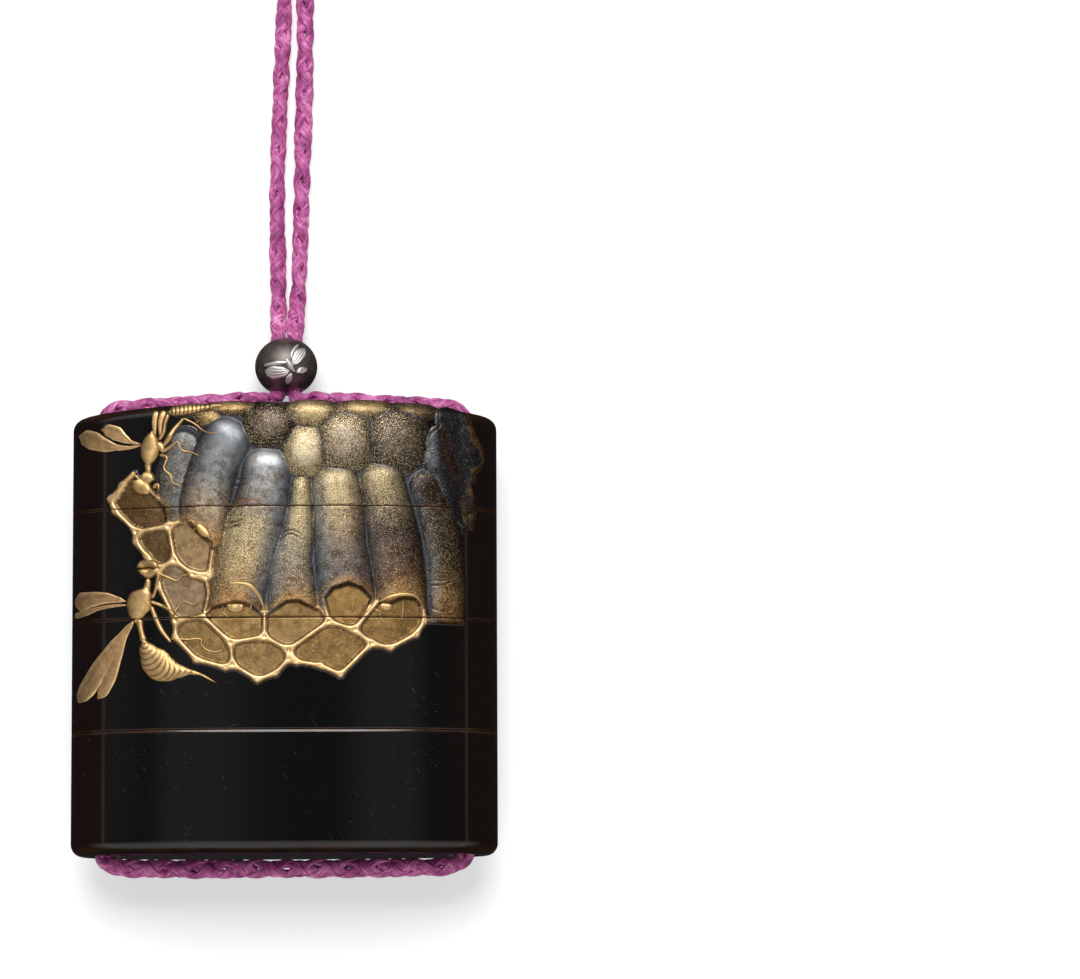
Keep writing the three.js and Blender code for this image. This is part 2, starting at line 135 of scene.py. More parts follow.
def smooth_route(points, step):
    """A centripetal Catmull-Rom curve through the points, in steps of equal length."""
    points = np.array(points, float)
    points = np.vstack([2 * points[0] - points[1], points, 2 * points[-1] - points[-2]])
    fine = []
    for p0, p1, p2, p3 in zip(points, points[1:], points[2:], points[3:]):
        d0, d1, d2 = (np.linalg.norm(b - a) ** 0.5 for a, b in ((p0, p1), (p1, p2), (p2, p3)))
        start = ((p1 - p0) / d0 - (p2 - p0) / (d0 + d1) + (p2 - p1) / d1) * d1
        end = ((p2 - p1) / d1 - (p3 - p1) / (d1 + d2) + (p3 - p2) / d2) * d1
        t = np.linspace(0, 1, 40, endpoint=False)[:, None]
        fine.append((2 * t**3 - 3 * t**2 + 1) * p1 + (t**3 - 2 * t**2 + t) * start
                    + (3 * t**2 - 2 * t**3) * p2 + (t**3 - t**2) * end)
    fine = np.vstack([*fine, points[-2:-1]])
    along = np.concatenate([[0], np.cumsum(np.linalg.norm(np.diff(fine, axis=0), axis=1))])
    even = np.linspace(0, along[-1], int(along[-1] / step) + 1)
    return np.stack([np.interp(even, along, fine[:, k]) for k in range(3)], axis=1), even


def dress(obj, slot, material, *nodes):
    """Finishes a piece: it rides on the body, stands for its CAD nodes and wears its material."""
    obj.data.materials.clear()
    obj.data.materials.append(material)
    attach(obj, "root")
    if nodes:
        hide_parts(*nodes)
    print(obj.name, len(obj.data.vertices), "vertices")


# %% Helpers for materials
def new_material(name):
    material = bpy.data.materials.new(name)
    material.use_nodes = True
    return material, material.node_tree.nodes, material.node_tree.links


def node(tree_nodes, kind, **values):
    made = tree_nodes.new(kind)
    for name, value in values.items():
        if name in made.inputs:
            made.inputs[name].default_value = value
        else:
            setattr(made, name, value)
    return made


def feed(socket, value):
    """Gives a socket a number or a colour, or joins another socket to it."""
    if isinstance(value, (int, float, tuple)):
        socket.default_value = value
    elif value is not None:
        links.new(value, socket)


def maths(operation, first, second=None, third=None, clamp=False):
    """One step of arithmetic in the tree that is being made."""
    made = nodes.new("ShaderNodeMath")
    made.operation, made.use_clamp = operation, clamp
    for socket, value in zip(made.inputs, (first, second, third)):
        feed(socket, value)
    return made.outputs[0]


def times(first, second, clamp=False):
    return maths("MULTIPLY", first, second, clamp=clamp)


def rising(value, start, slope):
    """Nothing below the start, then a straight rise up to 1."""
    return times(maths("SUBTRACT", value, start, clamp=True), slope, clamp=True)


# %% [markdown]
# ## Floor and light
# The object lies on a plain white table. One big soft light stands high behind the lid, which leaves a
# soft, pale shadow below the case. The floor glows a little by itself, so that it stays white all over
# and keeps only that shadow.

# %% Floor
FLOOR_SIZE = 6
FLOOR_BELOW = 0.03 * MM
bpy.ops.mesh.primitive_plane_add(size=FLOOR_SIZE, location=(0, 0, -FLOOR_BELOW))
floor = bpy.context.object
floor.name = "floor"
material, nodes, links = new_material("white table")
shader = nodes["Principled BSDF"]
shader.inputs["Base Color"].default_value = (0.66, 0.66, 0.66, 1)
shader.inputs["Emission Color"].default_value = (1, 1, 1, 1)
shader.inputs["Emission Strength"].default_value = 0.44
shader.inputs["Roughness"].default_value = 0.9
shader.inputs["Specular IOR Level"].default_value = 0.1
floor.data.materials.append(material)
floor.visible_glossy = False
floor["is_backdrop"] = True

# %% Light
KEY_FROM = Vector((0.0, 0.5, 0.866))
KEY_STRENGTH = 2.35
KEY_SPREAD = math.radians(36)
key = bpy.data.objects.new("key", bpy.data.lights.new("key", "SUN"))
key.data.energy = KEY_STRENGTH
key.data.angle = KEY_SPREAD
key.rotation_euler = KEY_FROM.to_track_quat("Z", "Y").to_euler()
bpy.context.scene.collection.objects.link(key)

print("floor and light set")

# %% [markdown]
# ## What the lacquer mirrors
# Polished lacquer is a mirror, so what it reflects matters more than what shines on it. The part of the
# surroundings that the flat front mirrors is kept dark. A soft box stands above and below it, a thin
# strip at each side draws a glint down each rounded end, and a faint broad band and a window lie between.

# %% The mirrored room
world = bpy.data.worlds.new("studio")
bpy.context.scene.world = world
world.use_nodes = True
nodes, links = world.node_tree.nodes, world.node_tree.links
nodes.clear()

MIRROR_Y = math.sin(TIP)
STRIP_TURN = math.radians(54)
STRIP_GLOW = 0.4
BAND_START, BAND_END = math.radians(3), math.radians(27)
BAND_GLOW = 0.16
WINDOW_GLOW = 0.10
ROOM_GLOW = 0.02

way = nodes.new("ShaderNodeSeparateXYZ")
links.new(nodes.new("ShaderNodeTexCoord").outputs["Generated"], way.inputs[0])
to_x, to_y, to_z = (way.outputs[axis] for axis in "XYZ")
off_mirror = maths("ABSOLUTE", maths("SUBTRACT", to_y, MIRROR_Y))
soft_box = maths("SMOOTH_MIN", rising(off_mirror, 0.17, 2.6), 0.9, 0.1)
soft_box = times(soft_box, rising(to_z, 0.18, 3.0))
side_turn = maths("ARCTAN2", maths("ABSOLUTE", to_x), to_z)
off_strip = maths("ABSOLUTE", maths("SUBTRACT", side_turn, STRIP_TURN))
strip = times(maths("SUBTRACT", 1, times(off_strip, 24), clamp=True), STRIP_GLOW)
facing = maths("ADD", times(to_x, -0.62), maths("ADD", times(to_y, 0.42), times(to_z, 0.66)))
window = times(rising(facing, 0.9, 20), WINDOW_GLOW)
band_fall = times(maths("SUBTRACT", BAND_END, side_turn), 7, clamp=True)
side_band = times(times(rising(side_turn, BAND_START, 9), band_fall), BAND_GLOW)
brightness = ROOM_GLOW
for glow in (soft_box, strip, side_band, window):
    brightness = maths("ADD", glow, brightness)

lit = node(nodes, "ShaderNodeBackground", Color=(1, 1, 1, 1))
links.new(brightness, lit.inputs["Strength"])
seen = node(nodes, "ShaderNodeBackground", Color=(0.93, 0.93, 0.93, 1))
mix = nodes.new("ShaderNodeMixShader")
links.new(nodes.new("ShaderNodeLightPath").outputs["Is Camera Ray"], mix.inputs["Fac"])
links.new(lit.outputs[0], mix.inputs[1])
links.new(seen.outputs[0], mix.inputs[2])
links.new(mix.outputs[0], nodes.new("ShaderNodeOutputWorld").inputs["Surface"])
print("the lacquer has something to mirror")

# %% [markdown]
# ## The case's outline
# Seen from its end the case is a flattened oval, flatter than an ellipse: a superellipse. All the
# carving is laid out by its way round that outline, so a table turns a distance round the oval into
# a place and a direction outwards. Zero is the middle of the front, and +X is positive.

# %% The way round the oval
HALF_WIDTH = 31.2
HALF_DEPTH = 10.25
OVAL_POWER = 2.5
TOP = 33.3
LID_SEAM = 17.6
UPPER_SEAM = 1.4
MIDDLE_SEAM = -14.8
BASE = -32.6
SEAM_GAP = 0.1
EDGE_ROUND = 1.8
LID_ARCH = 1.5

OVAL_STEPS = 80001


def blunt(value, power):
    """A sine or cosine made blunter, so that a circle turns into a rounded box."""
    return np.sign(value) * np.abs(value) ** (2 / power)


turn = np.linspace(-math.pi, math.pi, OVAL_STEPS)
oval_x = HALF_WIDTH * blunt(np.sin(turn), OVAL_POWER)
oval_z = HALF_DEPTH * blunt(np.cos(turn), OVAL_POWER)
oval_way = np.concatenate([[0], np.cumsum(np.hypot(np.diff(oval_x), np.diff(oval_z)))])
ROUND = oval_way[-1]
oval_way -= ROUND / 2


def outline(way):
    """Place and outward direction, across and up, at a distance round the oval."""
    way = (np.asarray(way) + ROUND / 2) % ROUND - ROUND / 2
    x, z = np.interp(way, oval_way, oval_x), np.interp(way, oval_way, oval_z)
    steep = OVAL_POWER - 1
    out_x = np.sign(x) * (np.abs(x) / HALF_WIDTH) ** steep / HALF_WIDTH
    out_z = np.sign(z) * (np.abs(z) / HALF_DEPTH) ** steep / HALF_DEPTH
    length = np.hypot(out_x, out_z)
    return x, z, out_x / length, out_z / length


FRONT_HALF = (oval_way >= -ROUND / 4 - 1) & (oval_way <= ROUND / 4 + 1) & (oval_z >= 0)


def way_at(x):
    """The distance round the front's oval of a place across it; the back is its mirror."""
    return np.interp(x, oval_x[FRONT_HALF], oval_way[FRONT_HALF])


def edge_at(x, top, arch):
    """The height at which the rounded edge of an arched top starts."""
    return top - arch * (x / HALF_WIDTH) ** 2 - EDGE_ROUND


def case_point(way, up, height, arch=0.0, top=None):
    """A point on the case: way round the oval, distance up it, and height above its surface.
    Past the start of a rounded top edge, the distance goes on round that edge."""
    x, z, out_x, out_z = outline(way)
    inset = np.zeros_like(up)
    y, lift = up.copy(), np.zeros_like(up)
    if top is not None:
        edge = edge_at(x, top, arch)
        bend = np.clip((up - edge) / EDGE_ROUND, 0, math.pi / 2)
        over = up > edge
        y = np.where(over, edge + EDGE_ROUND * np.sin(bend), up)
        inset = np.where(over, EDGE_ROUND * (1 - np.cos(bend)), 0)
        lift = np.where(over, np.sin(bend), 0)
    flat = np.sqrt(1 - lift**2)
    off = height * flat - inset
    return np.stack([x + out_x * off, y + height * lift, CASE_MIDDLE_Z + z + out_z * off], axis=-1)


print("round the case:", round(ROUND, 2), "mm")

# %% [markdown]
# ## The nest as a height above the lacquer
# The nest is carved as one low relief: slanting closed tubes that overlap, their rounded tops above,
# and open comb cells below. Each form is a formula that gives a height for any place, and the tallest
# form wins, so that neighbours meet in a crisp valley, as built-up lacquer does.

# %% Shapes of height
def ease(value):
    value = np.clip(value, 0, 1)
    return value * value * (3 - 2 * value)


def tube_height(x, y, stations, rise, dome=3.0):
    """A closed tube along stations of (x, y, half width), from its rounded top to its mouth.
    Gives its height, the way along it and the place across it, from 1 at the left to -1."""
    stations = np.array(stations, float)
    starts, ends = stations[:-1], stations[1:]
    spans = np.hypot(*(ends[:, :2] - starts[:, :2]).T)
    before = np.concatenate([[0], np.cumsum(spans)])
    nearest = np.full(x.shape, 1e9)
    along, across = np.zeros_like(x), np.zeros_like(x)
    for k, (start, end) in enumerate(zip(starts, ends)):
        ux, uy = (end[:2] - start[:2]) / spans[k]
        s = (x - start[0]) * ux + (y - start[1]) * uy
        low = -1e3 if k == 0 else 0
        high = 1e3 if k == len(spans) - 1 else spans[k]
        kept = np.clip(s, low, high)
        d = (x - start[0]) * -uy + (y - start[1]) * ux
        far = np.hypot(s - kept, d)
        closer = far < nearest
        nearest = np.where(closer, far, nearest)
        along = np.where(closer, before[k] + kept, along)
        across = np.where(closer, np.copysign(far, -d), across)
    half = np.interp(along, before, stations[:, 2])
    reach = np.hypot(across / half, np.minimum(along, 0) / stations[0, 2])
    body = np.clip(1 - np.clip(reach, 0, 1) ** 2.4, 0, 1) ** 0.55
    into = np.clip((along + stations[0, 2]) / dome, 0, 1)
    height = rise * body * np.sqrt(1 - (1 - into) ** 2 * 0.85)
    return np.where(reach < 1, height, 0), along, across / half


def tube_length(stations):
    return sum(math.dist(a[:2], b[:2]) for a, b in zip(stations, stations[1:]))


def dome_height(x, y, middle, half_across, half_up, rise, power=2.2):
    reach = np.abs((x - middle[0]) / half_across) ** power + np.abs((y - middle[1]) / half_up) ** power
    return rise * np.clip(1 - reach, 0, 1) ** 0.6


def cell_depths(x, y, corners, soft):
    """How deep a place lies inside a many-sided cell: once with rounded corners, once sharp.
    Outside, both are minus the distance to it."""
    corners = np.array(corners, float)
    distances, inside = [], np.zeros(x.shape, bool)
    for a, b in zip(corners, np.roll(corners, -1, axis=0)):
        edge = b - a
        share = np.clip(((x - a[0]) * edge[0] + (y - a[1]) * edge[1]) / (edge @ edge), 0, 1)
        distances.append(np.hypot(x - a[0] - share * edge[0], y - a[1] - share * edge[1]))
        crosses = ((a[1] > y) != (b[1] > y)) & (x < edge[0] * (y - a[1]) / (edge[1] + 1e-12) + a[0])
        inside ^= crosses
    distances = np.array(distances)
    sharp = distances.min(axis=0)
    rounded = sharp - soft * np.log(np.exp(-(distances - sharp) / soft).sum(axis=0))
    return np.where(inside, rounded, -sharp), np.where(inside, sharp, -sharp)


def melted(distances, soft):
    """The nearest of many distances, where those that are nearly as near help it along."""
    nearest = distances.min(axis=0)
    return nearest - soft * np.log(np.exp(-(distances - nearest) / soft).sum(axis=0))

# %% [markdown]
# ## The nest, form by form
# Every number below is a place on the front in millimetres: x to the right, y towards the lid. A tube
# is a list of (x, y, half width) from its rounded top to its mouth. Its colours run the same way.

# %% The comb's corners and cells
CORNERS = {
    "A0": (-21.6, 22.8), "A4": (-23.3, 21.1), "A1": (-24.1, 19.7), "A2": (-25.0, 19.2),
    "A3": (-24.3, 17.4), "J1": (-21.1, 14.2),
    "J2": (-16.4, 14.9), "a1": (-16.6, 16.5), "a2": (-17.0, 17.9), "a3": (-18.6, 19.6), "J3": (-21.2, 12.8),
    "J4": (-19.5, 10.5), "J5": (-15.5, 9.9), "J6": (-17.8, 8.7), "J7": (-13.7, 15.9), "J8": (-9.8, 12.3),
    "J9": (-10.4, 7.8), "J9b": (-12.8, 7.8), "J10": (-10.9, 6.9), "d1": (-10.6, 4.8), "J11": (-11.3, 1.6),
    "J12": (-15.3, 1.1), "J13": (-15.3, -1.3), "J14": (-17.8, 6.2), "J15": (-7.3, -2.2), "J16": (-2.4, -1.4),
    "J17": (-2.4, 1.9), "J18": (-7.0, -5.4), "J19": (-8.0, -5.8), "J20": (-12.3, -4.6), "J21": (-3.4, -7.6),
    "J22": (-0.8, -6.7), "J23": (1.1, -4.7), "J24": (1.1, -3.3), "J25": (6.9, 0.8), "J26": (6.0, 4.3),
    "J27": (10.6, -0.4), "J28": (13.9, 3.7), "J29": (13.1, -2.4), "J30": (8.6, -6.9), "J31": (5.7, -5.6),
    "J32": (2.2, -5.0), "J33": (15.8, -3.0), "J34": (19.5, -1.0), "J35": (20.7, 1.0), "J36": (20.4, 3.2),
    "k1": (15.7, 3.8), "k3": (17.5, 4.6), "k2": (19.3, 4.4), "i1": (7.3, 5.8), "i4": (9.8, 6.6),
    "i2": (11.8, 5.9), "i3": (13.4, 4.2), "e1": (-10.2, 3.1), "e2": (-6.3, 3.9), "e3": (-4.3, 3.4),
    "g1": (0.6, 3.9), "g2": (2.4, 4.1), "g3": (5.7, 2.6),
}
FRONT_CELLS = [
    "A0 A4 A1 A2 A3 J1 J2 a1 a2 a3", "J1 J2 J5 J6 J4 J3", "J2 J7 J8 J9 J9b J5",
    "J6 J5 J9b J10 d1 J11 J12 J14", "J11 e1 e2 e3 J17 J16 J15", "J12 J11 J15 J18 J19 J20 J13",
    "J17 g1 g2 g3 J25 J24 J16", "J15 J16 J24 J23 J22 J21 J18", "J26 i1 i4 i2 i3 J27 J25",
    "J24 J25 J27 J29 J30 J31 J32", "J28 k1 k3 k2 J36 J35 J34 J33 J29 J27",
]
# The colour of each cell's floor.
FLOOR_TONES = [
    (104, 78, 44), (100, 76, 44), (152, 126, 90), (144, 120, 92), (140, 112, 66), (136, 108, 66),
    (138, 110, 68), (134, 108, 66), (140, 110, 62), (130, 102, 58), (132, 102, 58),
]
BACK_CELLS = [
    [(29.6, 23.6), (26.8, 24.0), (25.0, 20.8), (24.8, 17.3), (27.3, 18.1), (29.6, 21.5)],
    [(25.0, 20.8), (22.3, 20.1), (21.6, 16.6), (24.8, 17.3)],
    [(22.3, 20.1), (18.3, 19.7), (14.2, 19.5), (12.6, 16.9), (14.0, 14.1), (19.0, 13.5), (21.6, 16.6)],
    [(12.6, 16.9), (10.1, 17.9), (5.8, 18.3), (3.8, 16.4), (5.1, 14.1), (6.4, 12.5), (10.7, 12.7)],
    [(5.8, 18.3), (3.7, 20.4), (-1.7, 20.5), (-4.1, 18.8), (-3.8, 17.1), (0.2, 15.1), (3.8, 16.4)],
    [(0.2, 15.1), (-3.8, 17.1), (-7.1, 16.6), (-7.2, 14.7), (-4.1, 12.9), (-0.5, 12.9)],
    [(5.1, 14.1), (3.8, 16.4), (0.2, 15.1), (-0.5, 12.9), (1.2, 11.3), (4.7, 11.5)],
    [(-4.1, 18.8), (-7.2, 20.0), (-10.2, 19.0), (-10.4, 17.1), (-7.1, 16.6), (-3.8, 17.1)],
    [(-10.2, 19.0), (-13.2, 21.0), (-15.4, 20.0), (-15.7, 17.4), (-13.5, 16.4), (-10.4, 17.1)],
    [(-15.4, 20.0), (-18.0, 21.7), (-19.1, 20.3), (-18.1, 17.8), (-15.7, 17.4)],
]
RIB_HALF = 0.38
RIM_HALF = 0.15
BACK_RIB_HALF = 0.32
RIB_RISE = 0.55
RIM_RISE = 0.34
FLOOR_RISE = 0.1
FLOOR_DUST = 0.03
CELL_SOFT = 0.4
print(len(FRONT_CELLS), "cells in front,", len(BACK_CELLS), "behind")

# %% [markdown]
# ## Tubes, domes and the flap
# The tubes are dusted with silver, slate and gold, one fading into the next, so each tube carries a few
# colour stops: the share of the way down, the colour, and how thickly gold dust lies there. A side may
# have a colour and a strength of its own, partly the powder's own silver and slate and partly painted
# highlight and painted shade across the tube.

# %% Tubes, domes and the flap
BED_RISE = 0.3
BED_WIDER = 1.14
BACK_BED_WIDER = 1.25
POWDER_GAIN = 0.62
BACK_GAIN = 0.95
# How dark the painted shade leaves a form's flanks, against its crown.
PAINTED_FLANK_SHADE = 0.26
FRONT_TUBES = {
    "Z": dict(way=[(-14.2, 27.0, 2.2), (-15.3, 22.4, 2.8), (-15.6, 18.8, 2.3), (-14.9, 15.6, 1.6)], rise=0.6,
              stops=[(0, (132, 136, 138), .25), (.5, (120, 122, 122), .35), (1, (104, 110, 116), .15)]),
    "G2": dict(way=[(25.2, 24.0, 2.0), (26.0, 19.0, 2.2), (26.3, 15.6, 1.5)], rise=0.45,
               stops=[(0, (56, 50, 50), 0), (.6, (66, 56, 50), .1), (1, (116, 90, 56), .4)]),
    "F": dict(way=[(20.9, 20.9, 2.6), (22.1, 18.1, 2.8), (22.8, 15.7, 2.95), (23.65, 10.3, 2.65),
                   (23.9, 5.4, 2.7), (23.9, 2.4, 2.65)], rise=1.0, tail=1.8, left=((88, 92, 100), .6),
              stops=[(0, (74, 64, 60), .2), (.12, (56, 42, 36), .2), (.28, (60, 46, 40), .3),
                     (.42, (70, 55, 38), .45), (.7, (72, 56, 34), .5), (.9, (132, 98, 50), .6),
                     (1, (150, 106, 52), .4)]),
    "E": dict(way=[(14.6, 21.3, 3.3), (14.9, 20.0, 3.3), (15.5, 17.5, 3.45),
                   (16.4, 12.4, 3.95), (17.2, 6.6, 3.8), (17.4, 2.6, 3.7)], rise=1.2,
              left=((120, 112, 112), .35),
              stops=[(0, (142, 128, 104), .65), (.16, (146, 130, 100), .85), (.34, (98, 84, 68), .7),
                     (.5, (78, 62, 60), .3), (.72, (100, 76, 62), .25), (.86, (150, 110, 64), .45),
                     (1, (168, 122, 64), .6)]),
    "D": dict(way=[(7.9, 20.4, 3.7), (8.3, 17.5, 3.8), (8.5, 11.8, 3.85), (9.2, 7.4, 4.25),
                   (9.6, 3.6, 4.2)], rise=1.2, left=((128, 138, 146), .6), right=((104, 88, 76), .4),
              stops=[(0, (160, 148, 124), .5), (.2, (188, 168, 128), .9), (.45, (150, 130, 106), .7),
                     (.65, (120, 106, 100), .3), (.85, (104, 98, 98), .2), (1, (84, 74, 66), .3)]),
    "C": dict(way=[(2.9, 20.9, 1.55), (2.8, 17.7, 1.85), (2.3, 13.4, 2.5), (1.5, 9.6, 3.1), (1.6, 5.2, 3.65),
                   (1.6, 2.4, 3.85)], rise=0.85, left=((118, 126, 134), .55),
              stops=[(0, (148, 136, 102), .8), (.35, (176, 158, 116), .9), (.5, (150, 140, 122), .7),
                     (.7, (132, 122, 112), .5), (.88, (128, 98, 66), .5), (1, (140, 104, 62), .4)]),
    # B's near-white top stop is a painted highlight.
    "B": dict(way=[(-2.2, 23.0, 3.55), (-2.3, 21.3, 3.7), (-3.0, 17.7, 4.05), (-4.4, 13.4, 4.4),
                   (-5.9, 7.5, 4.25), (-6.8, 2.4, 4.0)], rise=1.25, right=((112, 118, 126), .7),
              stops=[(0, (226, 226, 226), 0), (.14, (166, 168, 170), .1), (.36, (138, 132, 128), .2),
                     (.46, (158, 144, 112), .75), (.7, (162, 138, 94), .85), (.88, (164, 126, 76), .6),
                     (1, (186, 138, 82), .5)]),
    "A": dict(way=[(-8.1, 27.4, 3.65), (-9.4, 25.1, 3.75), (-10.7, 21.4, 3.9),
                   (-11.4, 18.1, 3.95), (-11.4, 13.6, 3.7), (-11.0, 11.6, 3.4)], rise=1.2,
              left=((62, 58, 64), .6),
              stops=[(0, (150, 153, 156), 0), (.2, (146, 150, 154), 0), (.45, (128, 133, 136), .1),
                     (.7, (176, 158, 134), .35), (.8, (158, 134, 108), .3), (.9, (150, 116, 76), .5),
                     (1, (150, 115, 68), .5)]),
}
# A dome is (x, y, half across, half up, rise, colour at the top, colour at the foot, dust); the colour at
# the top is partly a painted highlight.
FRONT_CAPS = [
    (-10.5, 30.5, 2.4, 1.5, .45, (176, 146, 92), (120, 92, 56), .4),
    (-13.6, 31.9, 3.0, 1.0, .35, (120, 96, 66), (84, 64, 48), .3),
    (-7.3, 32.3, 3.6, 1.3, .6, (178, 146, 92), (124, 94, 56), .5),
    (-1.7, 29.4, 4.2, 3.6, 1.15, (112, 98, 88), (60, 46, 40), .45),
    (3.5, 25.7, 3.7, 4.3, 1.1, (228, 214, 184), (126, 104, 70), .9),
    (4.4, 31.3, 4.1, 2.5, .95, (196, 170, 120), (128, 98, 58), .75),
    (9.3, 27.0, 4.9, 4.9, 1.2, (150, 138, 126), (86, 68, 48), .75),
    (16.8, 27.1, 4.9, 5.2, 1.15, (96, 84, 78), (50, 38, 33), .55),
    (12.2, 32.1, 4.6, 1.9, .8, (178, 150, 102), (112, 86, 58), .6),
    (18.9, 31.9, 3.9, 1.7, .6, (132, 108, 78), (92, 72, 54), .4),
]
FLAP = [
    (20.2, 23.6), (20.5, 25.9), (20.8, 28.2), (21.5, 29.1), (22.3, 29.7), (22.4, 32.4), (25.0, 32.6),
    (27.0, 31.6), (27.5, 30.3), (28.2, 28.5), (29.1, 26.9), (29.5, 24.4), (28.2, 22.8), (27.9, 21),
    (28.0, 18.1), (28.3, 16.8), (27.7, 15.4), (26.2, 13.9), (25.2, 15.0), (22.0, 20.5),
]
FLAP_RISE = 0.62
# A tube on the back is (x and y of its top, x and y of its foot, half width at each, rise).
BACK_TUBES = [
    (28.6, 32.4, 28.2, 23.4, 2.0, 2.1, .8), (24.7, 32.6, 24.5, 22.2, 2.1, 2.1, .8),
    (18.9, 32.9, 17.9, 19.2, 3.3, 3.4, 1), (13.2, 33, 10.9, 17.6, 3, 3.3, 1),
    (6.7, 33.2, 3.9, 20.9, 3.3, 3.4, 1), (-.3, 33.2, -3.6, 18.4, 3.5, 3.4, 1),
    (-7, 33.2, -10.2, 20.4, 3.1, 3.3, 1), (-12.8, 33, -15.6, 22, 2.6, 2.8, .9),
]
# Each back tube's colour at the top and at the foot.
BACK_TONES = [
    ((84, 72, 62), (86, 66, 46)), ((96, 78, 56), (112, 84, 50)), ((92, 86, 82), (164, 126, 72)),
    ((150, 148, 146), (124, 94, 62)), ((160, 150, 126), (154, 128, 84)), ((112, 92, 80), (100, 76, 56)),
    ((148, 148, 150), (104, 92, 86)), ((118, 116, 118), (164, 126, 70)),
]
# Short engraved lines across the tubes: two ends, and how far the middle sags.
ENGRAVED = [
    ((-9.7, 20), (-8, 18), 0), ((-8.9, 19.6), (-7.1, 18.1), 0), ((-6.5, 21.6), (-5.0, 21.8), .1),
    ((-6.8, 20.7), (-5.3, 20.9), .1), ((-7.9, 15.3), (-5.7, 15.6), .15), ((-8.2, 14.5), (-6, 14.9), .15),
    ((21.4, 6.9), (24.7, 7.4), .3), ((21.5, 6.2), (24.5, 6.8), .3), ((21.5, 2.9), (24.4, 2.6), .35),
    ((-.3, 13.3), (3, 13.3), -.8), ((-.2, 12.7), (2.9, 12.7), -.8), ((10.4, 15.9), (12, 15.7), .2),
]


def linear(colour):
    """A colour as the eye reads it, 0 to 255, as the light that a surface gives back."""
    share = np.asarray(colour, float) / 255
    return np.where(share <= 0.04045, share / 12.92, ((share + 0.055) / 1.055) ** 2.4)


def blend(below, above, weight):
    return below + (above - below) * np.asarray(weight)[..., None]


def all_over(places, colour):
    """One colour at every place."""
    return np.broadcast_to(linear(colour), places.shape + (3,))


def lit_crown(colour, height, rise, gain=POWDER_GAIN):
    """A form's colour with painted light and shade: bright along its crown and darker down its flanks."""
    return colour * (gain * (PAINTED_FLANK_SHADE + (1 - PAINTED_FLANK_SHADE) * ease(height / rise)))[..., None]


def line_distance(x, y, start, end, sag=0.0):
    start, end = np.array(start, float), np.array(end, float)
    span = end - start
    share = np.clip(((x - start[0]) * span[0] + (y - start[1]) * span[1]) / (span @ span), 0, 1)
    across = np.array([-span[1], span[0]]) / np.linalg.norm(span)
    bow = -sag * 4 * share * (1 - share) * np.sign(across[1] + 1e-9)
    return np.hypot(x - start[0] - share * span[0] - bow * across[0],
                    y - start[1] - share * span[1] - bow * across[1])


# %% [markdown]
# ## The whole relief
# The forms are laid one after another on a bare ground, at as many places as are asked for at once. Real
# relief is built up the same way, with lacquer, charcoal and metal powder, from the bed to the ribs.

# %% What lies at each place
class Relief:
    """Height, colour, powder cover and gold dust of the carving at many places."""

    def __init__(self, x, y):
        self.x, self.y = x, y
        self.height = np.zeros(x.shape)
        self.second = np.zeros(x.shape)
        self.colour = np.zeros(x.shape + (3,))
        self.cover = np.zeros(x.shape)
        self.dust = np.zeros(x.shape)

    def lay(self, height, colour, cover, dust):
        """Adds one form: it shows wherever it stands higher than what is there."""
        wins = height > self.height
        self.second = np.where(wins, self.height, np.maximum(self.second, height))
        self.height = np.where(wins, height, self.height)
        self.colour = np.where(wins[..., None], colour, self.colour)
        self.cover = np.where(wins, cover, self.cover)
        self.dust = np.where(wins, dust, self.dust)

    def tint(self, weight, colour, dust=0.0):
        self.colour = blend(self.colour, linear(colour), weight)
        self.dust = self.dust + (dust - self.dust) * weight


def stops_at(share, stops):
    places = [stop[0] for stop in stops]
    colours = np.array([linear(stop[1]) for stop in stops])
    colour = np.stack([np.interp(share, places, colours[:, k]) for k in range(3)], axis=-1)
    return colour, np.interp(share, places, [stop[2] for stop in stops])


def front_cells():
    """The cells as corner points, the edges of their thick ribs and those of their thin rims."""
    names = [cell.split() for cell in FRONT_CELLS]
    ribs, rims = set(), set()
    for cell in names:
        for a, b in zip(cell, cell[1:] + cell[:1]):
            (ribs if a[0].isupper() and b[0].isupper() else rims).add(tuple(sorted((a, b))))
    return [[CORNERS[n] for n in cell] for cell in names], ribs, rims


# %% The flap, the tubes and the domes
def lay_flap(land, x, y):
    """A torn grey flap at the right, with a rusty fold, an ochre rim and a pale ridge that is partly a
    painted highlight.
    """
    soft_depth, from_rim = cell_depths(x, y, FLAP, 0.3)
    flap = ease((soft_depth + 0.05) / 0.5)
    ruffle = 0.5 + 0.5 * np.sin(2.1 * x + 1.6 * y + 1.4 * np.sin(1.9 * y))
    rust = np.exp(-((x - 24.0 + 0.22 * (y - 25.5)) / 0.75) ** 2) * ease((30.2 - y) / 2) * ease((y - 21) / 2)
    ochre = ease((x - 26.3) / 1.2) * (1 - ease((from_rim - 0.25 - 0.7 * ruffle) / 0.6))
    # Partly painted highlight: the left of the flap turns silver.
    pale = ease((23.2 - x) / 1.8) * ease((y - 22.5) / 2)
    colour = blend(all_over(x, (44, 45, 50)), linear((92, 98, 106)), 0.8 * pale)
    colour = blend(colour, linear((80, 46, 32)), 0.7 * rust * (0.5 + 0.5 * ruffle))
    colour = blend(colour, linear((118, 84, 40)), 0.8 * ochre)
    hollow = 0.22 * np.exp(-((x - 25.9 + 0.05 * (y - 24)) / 1.2) ** 2)
    ridge = 0.3 * np.exp(-((x - 22.6 + 0.2 * (y - 25)) / 1.3) ** 2)
    land.lay(flap * (FLAP_RISE - hollow + ridge), colour, 1.0, 0.1 + 0.25 * ochre + 0.15 * pale)
    bright_rim = (1 - ease(np.abs(from_rim - 0.12) / 0.16)) * (x < 23.2) * (y > 23)
    land.tint(0.8 * bright_rim, (196, 196, 192))


